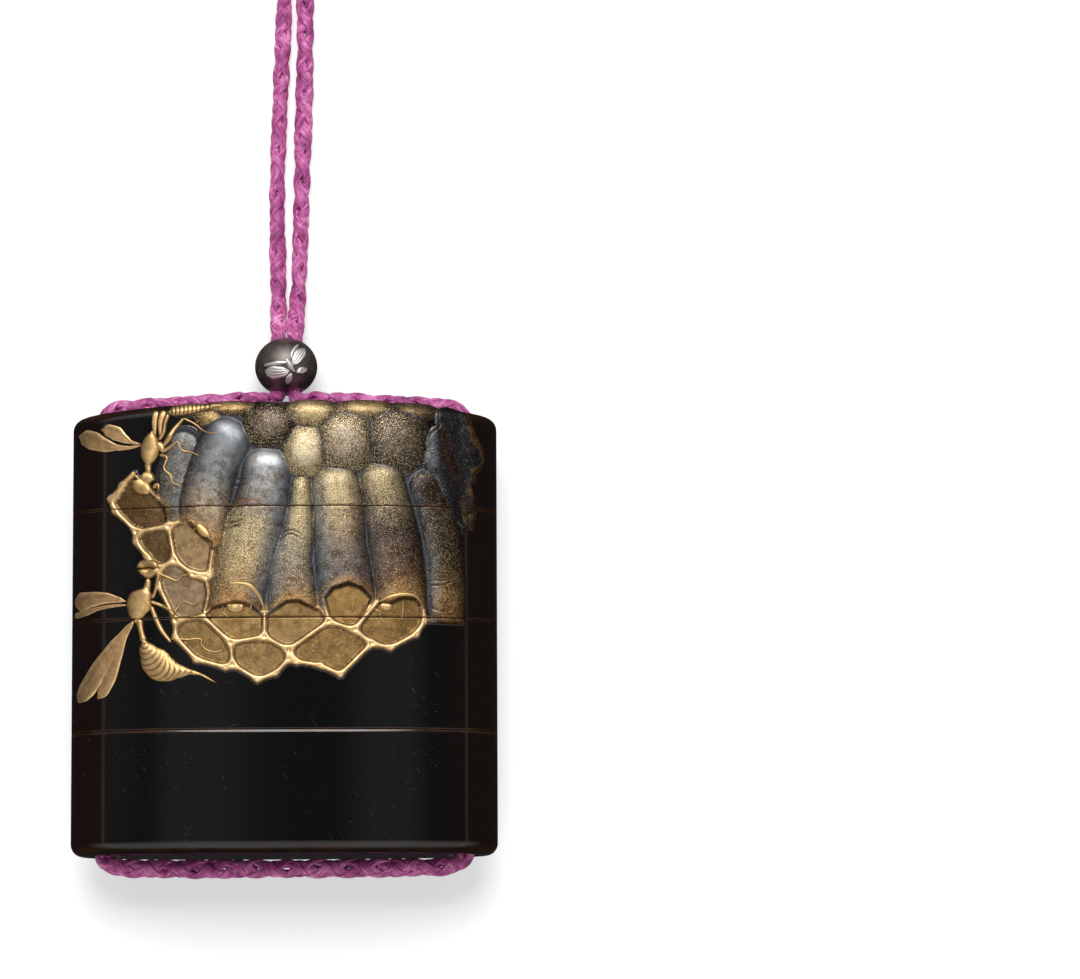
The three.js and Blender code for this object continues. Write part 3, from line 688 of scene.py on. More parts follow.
def lay_bed(land, x, y, stations, reach, allowed, colour):
    """The dark ground round a tube, a little wider than the tube itself."""
    below, along, _ = tube_height(x, y, stations, 1.0)
    inner = (below > 0) & (along < reach) & allowed
    land.lay(np.where(inner, BED_RISE, 0), all_over(x, colour), 1.0, 0.0)


def lay_front_tube(land, x, y, tube, open_cell):
    top_half = tube["way"][0][2]
    height, along, across = tube_height(x, y, tube["way"], tube["rise"])
    length = tube_length(tube["way"])
    past = along - length
    if "tail" in tube:
        height = height * np.sqrt(np.clip(1 - np.clip(past / tube["tail"], 0, 1) ** 2, 0, 1))
    else:
        height = height * (1 - ease(past / 1.1)) * (1 - open_cell)
    share = (along + top_half) / (length + top_half)
    colour, dust = stops_at(share, tube["stops"])
    colour = lit_crown(colour, height, tube["rise"])
    # The side tones are partly powder colour and partly painted highlight and painted shade.
    for side, sign in (("left", 1), ("right", -1)):
        if side in tube:
            tone, strength = tube[side]
            beside = ease((sign * across - 0.15) / 0.7) * strength * ease(share / 0.2)
            colour = blend(colour, linear(tone), beside)
            dust = dust * (1 - 0.8 * beside)
    land.lay(height, colour, 1.0, dust)


def lay_dome(land, x, y, dome):
    middle_x, middle_y, half_across, half_up, rise, top, foot, dust = dome
    height = dome_height(x, y, (middle_x, middle_y), half_across, half_up, rise)
    # Painted highlight: the colour at the top comes in near the dome's crown.
    colour = blend(all_over(x, foot), linear(top), ease((height / rise - 0.7) / 0.3))
    land.lay(height, lit_crown(colour, height, rise), 1.0, dust)


# %% The comb
def lay_ribs(land, x, y, reach, half, rise, colour):
    """A half-round rib wherever a line of the comb is nearer than the rib's half width."""
    rib = np.sqrt(np.clip(1 - (reach / half) ** 2, 0, 1))
    land.lay(np.where(reach < half, FLOOR_RISE + rise * rib, 0), colour, 1.0, 0.0)


def lay_front_comb(land, x, y, depths, deep, ribs, rims):
    tone = all_over(x, FLOOR_TONES[-1])
    for (_, sharp), shade in zip(depths, FLOOR_TONES):
        tone = np.where((sharp > 0)[..., None], linear(shade), tone)
    # Painted shadow: the floor darkens along the foot of the ribs round each cell.
    rib_foot_shadow = 1 - ease(np.abs(deep - RIB_HALF - 0.02) / 0.24)
    floor = blend(0.8 * tone, linear((58, 40, 28)), 0.8 * rib_foot_shadow)
    land.lay(np.where(deep > 0, FLOOR_RISE, 0), floor, 1.0, FLOOR_DUST)
    worn = 0.5 + 0.5 * np.sin(2.3 * x + 1.7 * y) * np.sin(1.3 * x - 2.1 * y)
    for edges, soft, half, rise, shade in ((rims, 0.03, RIM_HALF, RIM_RISE, (168, 126, 78)),
                                           (ribs, 0.3, RIB_HALF, RIB_RISE, (212, 172, 118))):
        lines = np.array([line_distance(x, y, CORNERS[a], CORNERS[b]) for a, b in sorted(edges)])
        reach = melted(lines, soft)
        reach = np.abs(reach) if edges is rims else reach
        colour = blend(all_over(x, shade), linear((244, 218, 176)), 0.4 * worn)
        lay_ribs(land, x, y, reach, half, rise, colour)


def engrave(land, x, y):
    """Short cuts across the tubes, and one fine rusty crack."""
    for start, end, sag in ENGRAVED:
        cut = 1 - ease(line_distance(x, y, start, end, sag) / 0.17)
        land.height = land.height - 0.1 * cut
        land.tint(0.8 * cut, (46, 38, 36))
    wander = 0.16 * np.sin(6 * x) + 0.1 * np.sin(17 * x)
    crack = 1 - ease(line_distance(x, y - wander, (-6.6, 18.5), (-3.0, 18.35)) / 0.16)
    land.tint(0.9 * crack, (164, 84, 52))


# %% The front and the back
def front_relief(x, y):
    land = Relief(x, y)
    cells, ribs, rims = front_cells()
    depths = [cell_depths(x, y, cell, CELL_SOFT) for cell in cells]
    depth, deep = np.max(depths, axis=0)
    open_cell = ease(np.clip(deep / 0.55, 0, 1))
    lay_flap(land, x, y)
    for tube in FRONT_TUBES.values():
        wider = [(a, b, half * BED_WIDER) for a, b, half in tube["way"]]
        lay_bed(land, x, y, wider, tube_length(wider), (x < 24) & (deep <= 0), (44, 44, 48))
    for tube in FRONT_TUBES.values():
        lay_front_tube(land, x, y, tube, open_cell)
    for dome in FRONT_CAPS:
        lay_dome(land, x, y, dome)
    valley = (1 - ease((land.height - land.second) / 0.3)) * (land.second > 0.05) * (y < 31.5)
    land.tint(0.5 * valley * ease((24.5 - x) / 3) * ease((x + 8) / 3), (78, 82, 88))
    mouth = 1 - ease(-np.minimum(depth, 0) / 1.6)
    land.tint(0.6 * mouth * (deep <= 0) * (x < 20.8), (158, 118, 66), 0.5)
    lay_front_comb(land, x, y, depths, deep, ribs, rims)
    engrave(land, x, y)
    return land


def back_relief(x, y):
    """The same kinds of form on the back: eight tubes above and a comb of ten open cells below."""
    land = Relief(x, y)
    depth = np.max([cell_depths(x, y, cell, CELL_SOFT)[1] for cell in BACK_CELLS], axis=0)
    open_cell = ease(np.clip(depth / 0.55, 0, 1))
    tubes = []
    for x0, y0, x1, y1, half0, half1, rise in BACK_TUBES:
        top = y0 - half0
        stations = [(x0, top, half0), ((x0 + x1) / 2, (top + y1) / 2, (half0 + half1) / 2), (x1, y1, half1)]
        length = math.dist((x0, top), (x1, y1))
        tubes.append((stations, length, rise))
        wider = [(a, b, half * BACK_BED_WIDER) for a, b, half in stations]
        lay_bed(land, x, y, wider, length + 0.4, depth <= 0, (50, 42, 38))
    for (stations, length, rise), (top, foot) in zip(tubes, BACK_TONES):
        height, along, across = tube_height(x, y, stations, rise)
        stops = [(0, top, .12), (.45, top, .2), (.8, foot, .45), (1, (146, 110, 64), .4)]
        colour, dust = stops_at(along / length, stops)
        # Painted shade: each back tube darkens down its left side.
        colour = blend(colour, linear((46, 44, 46)), 0.6 * ease((across - 0.1) / 0.6))
        height_seen = height * (1 - ease((along - length) / 1.1)) * (1 - open_cell)
        land.lay(height_seen, lit_crown(colour, height, rise, BACK_GAIN), 1.0, dust)
    edges = {tuple(sorted(ends)): ends for cell in BACK_CELLS for ends in zip(cell, cell[1:] + cell[:1])}
    reach = melted(np.array([line_distance(x, y, *ends) for ends in edges.values()]), 0.3)
    # Painted shadow: the floor darkens along the foot of each rib.
    back_rib_foot_shadow = 1 - ease(np.abs(reach - 0.4) / 0.24)
    floor = blend(all_over(x, (134, 108, 74)), linear((66, 48, 34)), 0.75 * back_rib_foot_shadow)
    land.lay(np.where(depth > 0, FLOOR_RISE, 0), floor, 1.0, FLOOR_DUST)
    lay_ribs(land, x, y, reach, BACK_RIB_HALF, RIB_RISE, all_over(x, (212, 172, 118)))
    flank = ease((30.4 - np.abs(x)) / 1.0)
    land.height, land.cover = land.height * flank, land.cover * (flank > 0.3)
    return land


on_a_tube = front_relief(np.array([-3.0]), np.array([17.7]))
print("the relief rises", on_a_tube.height.round(2), "mm on a tube")

# %% [markdown]
# ## The four pieces of the case
# Each piece starts as a flat grid that is wrapped round the oval, raised by the relief, closed at both
# ends, and then hollowed with the same cuts as its solid: a room, a socket for the rim below, a rim of
# its own, and two channels for the cord.

# %% Wrap a grid round the oval
FINE, MEDIUM, SIDE_STEP, COARSE = 0.15, 0.2, 0.3, 0.5
BASE_STEP = 0.4
# Each row of a seam's bevel: its height above the seam, and how far it is set in.
SEAM_BEVEL = [(0.0, 0.06), (0.02, 0.025), (0.07, 0.0)]
BEVEL_END = 0.1
WORN_BAND = 0.16
TOP_RINGS = (0.8, 0.5, 0.2, 0.0)


def spread(start, end, step):
    count = max(1, round((end - start) / step))
    return np.linspace(start, end, count, endpoint=False)


def columns(fine, carved_back):
    """Places round the oval from its left end, close together where the carving is."""
    left, lead, right, corner = (way_at(x) for x in (-31.1, -26.5, 30.2, 31.15))
    stops = [left, lead, right, corner, ROUND / 2 - way_at(20.5), ROUND + left]
    back_step = MEDIUM if carved_back else COARSE
    steps = [SIDE_STEP, FINE] if fine else [COARSE, COARSE]
    steps += [COARSE, back_step, back_step]
    return np.concatenate([spread(*part) for part in zip(stops, stops[1:], steps)])


def grid_object(name, points):
    """A grid primitive whose rows and columns of points are moved to the given places."""
    rows, count = points.shape[:2]
    deselect_all()
    bpy.ops.mesh.primitive_grid_add(x_subdivisions=count - 1, y_subdivisions=rows - 1, size=1)
    obj = bpy.context.object
    obj.name = obj.data.name = name
    write_points(obj, points.reshape(-1, 3) * MM)
    return obj


def in_edit_mode(obj, *steps):
    take(obj)
    bpy.ops.object.mode_set(mode="EDIT")
    bpy.ops.mesh.select_all(action="SELECT")
    for step in steps:
        step()
    bpy.ops.object.mode_set(mode="OBJECT")


def fill_ends():
    bpy.ops.mesh.select_all(action="DESELECT")
    bpy.ops.mesh.select_non_manifold(extend=False, use_wire=False, use_boundary=True, use_multi_face=False,
                                     use_non_contiguous=False, use_verts=False)
    bpy.ops.mesh.fill_holes(sides=0)


def outward():
    bpy.ops.mesh.select_all(action="SELECT")
    bpy.ops.mesh.normals_make_consistent(inside=False)


def paint(obj, name, colour, alpha):
    layer = obj.data.attributes.new(name, "FLOAT_COLOR", "POINT")
    data = np.zeros((len(obj.data.vertices), 4), np.float32)
    data[:, :3], data[:, 3] = colour, alpha
    layer.data.foreach_set("color", data.ravel())


def wall_rows(ways, low, high, fine, arch=0.0, top=None):
    """The height of every place up one wall, row by row, and how far a bevel sets each row in."""
    step = FINE if fine else BASE_STEP
    rises, insets = (list(part) for part in zip(*SEAM_BEVEL))
    rows = [np.full(ways.shape, low + rise) for rise in rises]
    if top is None:
        plain = spread(low + BEVEL_END, high - BEVEL_END, step)[1:]
        rows += [np.full(ways.shape, up) for up in [*plain, *(high - rise for rise in rises[::-1])]]
        insets += [0.0] * len(plain) + insets[::-1]
    else:
        edge = edge_at(HALF_WIDTH, top, arch)
        local_edge = edge_at(outline(ways)[0], top, arch)
        rows += [low + (up - low) * (local_edge - low) / (edge - low)
                 for up in spread(low + BEVEL_END, edge, step)[1:]]
        rows += [local_edge + turn * EDGE_ROUND for turn in np.linspace(0, math.pi / 2, 15 if fine else 9)]
        insets += [0.0] * (len(rows) - len(insets))
    return np.stack(rows), -np.array(insets)[:, None]


def edge_wear_and_sheen(x, y, up, low, high, cover, tops):
    """How far the lacquer is rubbed to brown along the seams and round a rounded edge; the line round the
    edge is partly a painted highlight.
    """
    wave = 0.5 + 0.5 * np.sin(0.9 * x + 2.0 * np.sin(0.37 * x + y))
    seam_wear = 0.25 + 0.5 * wave
    if not tops:
        return ((up - low < WORN_BAND) | (high - up < WORN_BAND)) * seam_wear
    bend = (up - edge_at(x, **tops)) / EDGE_ROUND
    # Partly rubbed wear, partly a painted highlight: a brown line part way round the rounded edge.
    line = np.exp(-((bend - 0.75) / 0.35) ** 2) * (0.35 + 0.45 * wave) * (cover < 0.5)
    return np.maximum((up - low < WORN_BAND) * seam_wear, 0.5 * line)


def over_the_top(points, ways, top, arch):
    """Adds smaller and smaller rings that close a rounded end."""
    rim, x = points[-1], outline(ways)[0]
    rings = [np.stack([rim[:, 0] * share, top - arch * (share * x / HALF_WIDTH) ** 2,
                       CASE_MIDDLE_Z + (rim[:, 2] - CASE_MIDDLE_Z) * share], axis=1) for share in TOP_RINGS]
    return np.concatenate([points, rings])


def wrapped_body(name, low, high, fine, rounded=None):
    """The outside of one piece between two heights, with its carving and its colours.
    The lowest box is made like a lid without an arch, and turned over."""
    ways = columns(fine, name in ("lid", "upper_case"))
    sign = -1 if rounded == "base" else 1
    if sign < 0:
        low, high = -high, -low
    tops = {"arch": LID_ARCH if rounded == "lid" else 0.0, "top": high} if rounded else {}
    up, inset = wall_rows(ways, low, high, fine, **tops)
    way = np.broadcast_to(ways, up.shape)
    base = case_point(way, up, np.zeros_like(up), **tops)
    x, y, front = base[..., 0], base[..., 1] * sign, base[..., 2] > CASE_MIDDLE_Z
    here, back = front_relief(x, y), back_relief(x, y)
    at_top = 1 - ease(up - high + 0.4) if rounded else 1.0
    height = np.where(front, here.height, back.height) * at_top
    cover = np.where(front, here.cover, back.cover)
    colour = np.where(front[..., None], here.colour, back.colour)
    dust = np.where(front, here.dust, back.dust)
    points = case_point(way, up, height + inset, **tops)

    # Brown wear along the seams, and round a rounded top a brown line that is partly painted highlight.
    worn = edge_wear_and_sheen(x, y, up, low, high, cover, tops)
    colour = np.where(cover[..., None] > 0.5, blend(colour, linear((96, 66, 38)), worn),
                      all_over(x, (92, 60, 34)))
    cover = np.maximum(cover, worn * 0.55)
    if rounded:
        points = over_the_top(points, ways, **tops)
        colour, cover, dust = (np.concatenate([part, np.zeros((len(TOP_RINGS),) + part.shape[1:])])
                               for part in (colour, cover, dust))
    points[..., 1] *= sign
    closed = [np.concatenate([part, part[:, :1]], axis=1) for part in (points, colour, cover, dust)]
    obj = grid_object(name + "_shell", closed[0])
    paint(obj, "ground", closed[1].reshape(-1, 3), closed[2].ravel())
    paint(obj, "dust", np.repeat(closed[3].reshape(-1, 1), 3, axis=1), closed[3].ravel())
    in_edit_mode(obj, lambda: bpy.ops.mesh.remove_doubles(threshold=0.002 * MM), fill_ends, outward)
    return obj


# %% [markdown]
# ## Rooms, rims and channels
# A real box is cut from thin wood and has an upright rim that slides into the box above. Each cut here
# is a plain body with rounded corners, taken away from the wrapped piece or joined to it with a boolean
# modifier, which is how the hollow can match the solid exactly.

# %% Cuts for the rooms, rims and channels
ROOM_HALF_WIDTH = 23.2
ROOM_HALF_DEPTH = 8.2
ROOM_POWER = 3
ROOM_SIDES = 72
RIM_WALL = 0.85
RIM_HEIGHT = 3.4
SOCKET_PLAY = 0.2
SOCKET_DEPTH = RIM_HEIGHT + 0.3
WALL_FLOOR = 1.6
LID_ROOF = 2.2
CHANNEL_X = 27
CHANNEL_RADIUS = 1.55
CHANNEL_SIDES = 32
MOUTH_ROUND = 1.2


def ring_faces(levels, sides, first=0):
    """The faces of a closed body through rings of points, of which the first has number `first`."""
    row = first + np.arange(levels - 1)[:, None] * sides + np.arange(sides)
    beside = first + np.arange(levels - 1)[:, None] * sides + np.roll(np.arange(sides), -1)
    quads = np.stack([row, beside, beside + sides, row + sides], axis=-1).reshape(-1, 4).tolist()
    last = first + (levels - 1) * sides
    return quads + [list(range(first + sides - 1, first - 1, -1)), list(range(last, last + sides))]


def ring_object(name, rings):
    """A closed body through rings of points, with a flat face over each end."""
    rings = np.array(rings)
    obj = mesh_object(name, rings.reshape(-1, 3) * MM, ring_faces(*rings.shape[:2]))
    flip_if_inside_out(obj)
    return obj


def flip_if_inside_out(obj):
    points = read_points(obj)
    obj.data.calc_loop_triangles()
    corners = np.array([t.vertices[:] for t in obj.data.loop_triangles])
    a, b, c = (points[corners[:, k]] for k in range(3))
    if np.sum(np.cross(a, b) * c) < 0:
        obj.data.flip_normals()


def room(low, high, grow=0.0):
    """The body of a room between two heights; a rim and a socket are the same room, grown."""
    turns = (np.arange(ROOM_SIDES) + 0.5) * 2 * math.pi / ROOM_SIDES
    x = (ROOM_HALF_WIDTH + grow) * blunt(np.cos(turns), ROOM_POWER)
    z = CASE_MIDDLE_Z + (ROOM_HALF_DEPTH + grow) * blunt(np.sin(turns), ROOM_POWER)
    return ring_object("room", [np.stack([x, np.full_like(x, y), z], axis=1) for y in (low, high)])


def channel(side):
    """The body of one cord channel, with a rounded mouth at the lid and at the base."""
    lid_mouth = TOP - LID_ARCH * (CHANNEL_X / HALF_WIDTH) ** 2
    quarter = np.radians(np.linspace(0, 90, 7))
    widths = [CHANNEL_RADIUS + MOUTH_ROUND * (1 - math.sin(a)) for a in quarter]
    drops = [MOUTH_ROUND * (1 - math.cos(a)) for a in quarter]
    profile = [(CHANNEL_RADIUS + MOUTH_ROUND, BASE - 1)] + [(w, BASE + d) for w, d in zip(widths, drops)]
    profile += [(w, lid_mouth - d) for w, d in zip(widths[::-1], drops[::-1])]
    profile += [(CHANNEL_RADIUS + MOUTH_ROUND, TOP + 2)]
    turns = np.arange(CHANNEL_SIDES) * 2 * math.pi / CHANNEL_SIDES
    rows = []
    for r, y in profile:
        x = CHANNEL_X + r * np.cos(turns)
        fall = LID_ARCH * (x**2 - CHANNEL_X**2) / HALF_WIDTH**2 if y > 0 else 0 * x
        rows.append(np.stack([side * x, y - fall, CASE_MIDDLE_Z + r * np.sin(turns)], axis=1))
    return ring_object("channel", rows)


def combine(obj, other, operation):
    take(obj)
    cut = obj.modifiers.new(operation.lower(), "BOOLEAN")
    cut.operation = operation
    cut.solver = "MANIFOLD"
    cut.object = other
    bpy.ops.object.modifier_apply(modifier=cut.name)
    bpy.data.objects.remove(other)


# %% Make the four pieces
PAST_RIM = 9


def with_rim(obj, low, seam):
    combine(obj, room(seam - 1, seam + RIM_HEIGHT, RIM_WALL), "UNION")
    combine(obj, room(low + WALL_FLOOR, seam + PAST_RIM), "DIFFERENCE")


def with_socket(obj, seam):
    combine(obj, room(seam - 1, seam + SOCKET_DEPTH, RIM_WALL + SOCKET_PLAY), "DIFFERENCE")


shells = {
    "lid": wrapped_body("lid", LID_SEAM + SEAM_GAP, TOP, True, "lid"),
    "upper_case": wrapped_body("upper_case", UPPER_SEAM + SEAM_GAP, LID_SEAM, True),
    "middle_case": wrapped_body("middle_case", MIDDLE_SEAM + SEAM_GAP, UPPER_SEAM, True),
    "lower_case": wrapped_body("lower_case", BASE, MIDDLE_SEAM, False, "base"),
}
with_socket(shells["lid"], LID_SEAM)
combine(shells["lid"], room(LID_SEAM, TOP - LID_ROOF - LID_ARCH / 2), "DIFFERENCE")
with_rim(shells["upper_case"], UPPER_SEAM + SOCKET_DEPTH, LID_SEAM)
with_socket(shells["upper_case"], UPPER_SEAM)
with_rim(shells["middle_case"], MIDDLE_SEAM + SOCKET_DEPTH, UPPER_SEAM)
with_socket(shells["middle_case"], MIDDLE_SEAM)
with_rim(shells["lower_case"], BASE, MIDDLE_SEAM)
for name, obj in shells.items():
    for side in (-1, 1):
        combine(obj, channel(side), "DIFFERENCE")
    smooth(obj)
    low, high = read_points(obj).min(axis=0) / MM, read_points(obj).max(axis=0) / MM
    print(name, len(obj.data.polygons), "faces, from", low.round(2), "to", high.round(2), "mm")

# %% [markdown]
# ## The wasps
# Gold wasps crawl over the nest, and one sits on the back. Their wings, legs and feelers are long and
# thin, too thin for the grid of the case, so they are built from bands of their own. A band is a kind,
# a rise and a row of (x, y, half width) places, in millimetres on the front or the back.

# %% What the wasps are made of
WASP_GOLD = (180, 145, 94)
WASP_PALE = (208, 174, 122)
WING_BROWN = (202, 163, 115)
WING_EDGE = (228, 192, 142)
WING_SILVER = (236, 226, 202)
CUT_DARK = (38, 26, 18)
FRONT_PARTS = [
    ("wing", 0.12, [(-20.6, 26.91, 0.12), (-22.22, 26.67, 0.24), (-23.99, 26.73, 0.41),
     (-26.06, 27.21, 1.01), (-27.83, 28.01, 1.36), (-29.01, 28.6, 1.18), (-30.07, 28.99, 0.53)]),
    ("wing", 0.12, [(-20.6, 27.12, 0.09), (-21.93, 27.42, 0.24), (-23.11, 28.01, 0.65),
     (-24.29, 28.81, 1.07), (-25.61, 29.41, 0.89), (-26.59, 29.5, 0.24)]),
    ("wing", 0.14, [(-18.53, 28.16, 0.18), (-18.62, 30.24, 0.38), (-18.39, 31.96, 0.41)]),
    ("wing", 0.14, [(-17.74, 28.16, 0.18), (-17.74, 30.24, 0.36), (-17.21, 31.96, 0.41)]),
    ("gold", 0.3, [(-17.94, 27.62, 0.3), (-17.27, 28.6, 0.27), (-16.97, 30.24, 0.27),
     (-16.56, 31.37, 0.33)]),
    ("rings", 0.4, [(-16.68, 31.49, 0.3), (-15.73, 31.72, 0.65), (-14.55, 31.84, 0.71),
     (-12.78, 31.99, 0.59), (-11.01, 32.2, 0.36), (-9.24, 32.26, 0.18), (-8.5, 32.08, 0.09)]),
    ("gold", 0.55, [(-19.42, 23.7, 0.41), (-19.42, 24.45, 0.83), (-19.33, 25.49, 1.3),
     (-19.21, 26.53, 1.42), (-19.09, 27.56, 1.12), (-18.98, 28.46, 0.65), (-18.92, 29.05, 0.24)]),
    ("gold", 0.45, [(-18.45, 26.67, 0.24), (-17.97, 26.91, 0.59), (-17.5, 26.5, 0.53),
     (-17.44, 25.72, 0.3)]),
    ("gold", 0.3, [(-19.42, 22.52, 0.36), (-19.51, 23.7, 0.47), (-19.57, 24.45, 0.65)]),
    ("gold", 0.45, [(-21.69, 21.68, 0.24), (-21.28, 21.39, 1.01), (-20.45, 20.82, 1.12),
     (-19.51, 20.32, 0.83), (-18.74, 20.14, 0.36)]),
    ("gold", 0.6, [(-20.69, 22.28, 0.36), (-20.16, 22.22, 0.95), (-19.51, 22.07, 1.07),
     (-18.8, 21.92, 0.71), (-18.45, 21.77, 0.24)]),
    ("gold", 0.3, [(-18.68, 20.5, 0.36), (-18.33, 20.97, 0.3), (-17.97, 21.03, 0.24),
     (-17.8, 20.08, 0.15)]),
    ("gold", 0.32, [(-17.32, 26.67, 0.3), (-16.47, 27.71, 0.41), (-15.73, 28.99, 0.36),
     (-14.26, 30.77, 0.21)]),
    ("gold", 0.2, [(-14.32, 30.74, 0.18), (-12.78, 29.94, 0.15), (-11.01, 28.6, 0.12),
     (-9.01, 28.22, 0.09)]),
    ("gold", 0.22, [(-17.5, 25.78, 0.27), (-16.32, 26.44, 0.24), (-15.08, 27.21, 0.18),
     (-14.7, 26.38, 0.15), (-14.4, 25.93, 0.15), (-13.08, 25.63, 0.12), (-11.9, 25.04, 0.09)]),
    ("gold", 0.22, [(-17.8, 25.43, 0.27), (-16.68, 24.95, 0.24), (-17.06, 23.35, 0.18),
     (-16.03, 22.22, 0.18), (-15.79, 21.33, 0.12), (-14.37, 20.59, 0.09)]),
    ("wing", 0.12, [(-22.69, 4.1, 0.15), (-23.99, 4.4, 0.47), (-25.76, 4.7, 0.83), (-27.83, 4.64, 1.12),
     (-29.3, 4.46, 1.36), (-30.54, 4.4, 1.42)]),
    ("wing", 0.12, [(-22.69, 3.57, 0.12), (-24.58, 3.51, 0.24), (-26.94, 3.21, 0.3),
     (-28.71, 2.77, 0.47), (-30.54, 2.38, 0.47)]),
    ("wing", 0.14, [(-21.63, 1.13, 0.24), (-22.66, -0.2, 0.53), (-24.58, -2.73, 1.01),
     (-26.65, -5.7, 1.36), (-28.42, -8.37, 1.36), (-29.83, -10.3, 0.77)]),
    ("wing", 0.14, [(-21.57, 0.98, 0.18), (-22.75, -0.8, 0.41), (-23.93, -3.92, 0.71),
     (-25.02, -6.89, 0.95), (-26.06, -8.97, 0.83), (-26.88, -9.98, 0.3)]),
    ("gold", 0.5, [(-19.57, 6.33, 0.47), (-19.86, 5.35, 1.07), (-20.51, 4.25, 1.84),
     (-20.86, 3.21, 1.78), (-21.1, 2.02, 1.18), (-21.19, 0.89, 0.71)]),
    ("gold", 0.32, [(-20.75, 1.43, 0.59), (-20.51, 0.09, 0.41), (-20.21, -1.1, 0.41),
     (-20.01, -1.9, 0.59)]),
    ("stripes", 0.5, [(-20.16, -1.39, 0.36), (-19.51, -3.03, 1.24), (-18.53, -4.51, 2.07),
     (-17.5, -5.55, 2.19), (-16.17, -6.09, 1.72), (-14.7, -6.29, 1.01), (-13.08, -6.44, 0.38),
     (-11.6, -6.83, 0.21), (-10.13, -7.63, 0.15), (-9.33, -8.05, 0.09)]),
    ("gold", 0.3, [(-19.42, 7.37, 0.41), (-19.51, 6.33, 0.47), (-19.74, 5.53, 0.71)]),
    ("gold", 0.5, [(-21.07, 8.94, 0.15), (-20.36, 9.39, 0.59), (-19.42, 9.57, 0.59),
     (-18.39, 9.33, 0.56), (-17.71, 8.82, 0.21)]),
    ("gold", 0.5, [(-21.01, 8.62, 0.12), (-20.3, 8.35, 0.47), (-19.33, 8.08, 0.83),
     (-18.53, 8.23, 0.56), (-17.77, 8.44, 0.15)]),
    ("gold", 0.28, [(-18.83, 4.4, 0.27), (-18.24, 5.59, 0.24), (-17.59, 7.96, 0.18)]),
    ("gold", 0.2, [(-17.74, 8.02, 0.18), (-16.32, 7.37, 0.18), (-15.14, 6.92, 0.18),
     (-14.4, 7.61, 0.12), (-13.61, 7.73, 0.12)]),
    ("gold", 0.3, [(-19.04, 3.95, 0.27), (-17.5, 3.36, 0.27), (-16.03, 2.47, 0.27), (-15.38, 1.67, 0.21)]),
    ("gold", 0.2, [(-15.55, 2.2, 0.15), (-14.17, 3.86, 0.12), (-12.63, 3.39, 0.12), (-12.01, 4.01, 0.09)]),
    ("gold", 0.32, [(-18.92, 3.27, 0.3), (-18.24, 1.43, 0.38), (-17.35, -0.35, 0.33),
     (-15.97, -2.08, 0.21)]),
    ("gold", 0.2, [(-15.91, -1.6, 0.15), (-13.67, -1.66, 0.15), (-11.6, -1.72, 0.15),
     (-11.54, -2.43, 0.15), (-10.86, -3.17, 0.12), (-9.83, -3.53, 0.12), (-8.53, -3.38, 0.09)]),
    ("gold", 0.3, [(-12.25, 15.09, 0.18), (-11.72, 14.56, 0.59), (-11.07, 13.81, 0.71),
     (-10.07, 13.04, 0.18)]),
    ("gold", 0.2, [(-13.58, 15.57, 0.15), (-12.69, 15.39, 0.18), (-12.34, 14.56, 0.15),
     (-12.78, 14.14, 0.15), (-12.6, 12.86, 0.12), (-12.07, 11.65, 0.12)]),
    ("gold", 0.3, [(-7.94, 3.27, 0.24), (-7.41, 3.03, 0.65), (-6.59, 2.91, 0.83), (-5.82, 3.03, 0.65),
     (-5.41, 3.33, 0.24)]),
    ("gold", 0.2, [(-8.42, 3.21, 0.15), (-8.59, 2.32, 0.15), (-7.77, 1.58, 0.12), (-7.35, -0.12, 0.12)]),
    ("gold", 0.2, [(-4.29, 3.39, 0.15), (-4.52, 1.96, 0.12)]),
    ("gold", 0.16, [(-7.53, 6.27, 0.09), (-6.0, 6.33, 0.21), (-4.37, 5.88, 0.36), (-3.19, 4.55, 0.3),
     (-2.4, 2.56, 0.12)]),
    ("gold", 0.3, [(14.1, 3.2, 0.2), (14.8, 3.1, 0.6), (15.5, 3.0, 0.7), (16.2, 3.2, 0.25)]),
    ("gold", 0.2, [(13.5, 2.6, 0.15), (14.4, 2.1, 0.16), (14.2, 1.6, 0.14), (15.1, 0.5, 0.12)]),
    ("gold", 0.2, [(17.6, 3.9, 0.15), (17.6, 2.6, 0.15), (17.4, 1.0, 0.12)]),
    ("gold", 0.16, [(14.0, 3.6, 0.1), (15.6, 4.3, 0.24), (17.6, 4.7, 0.28), (19.2, 4.5, 0.22),
     (20.1, 3.6, 0.1)]),
]
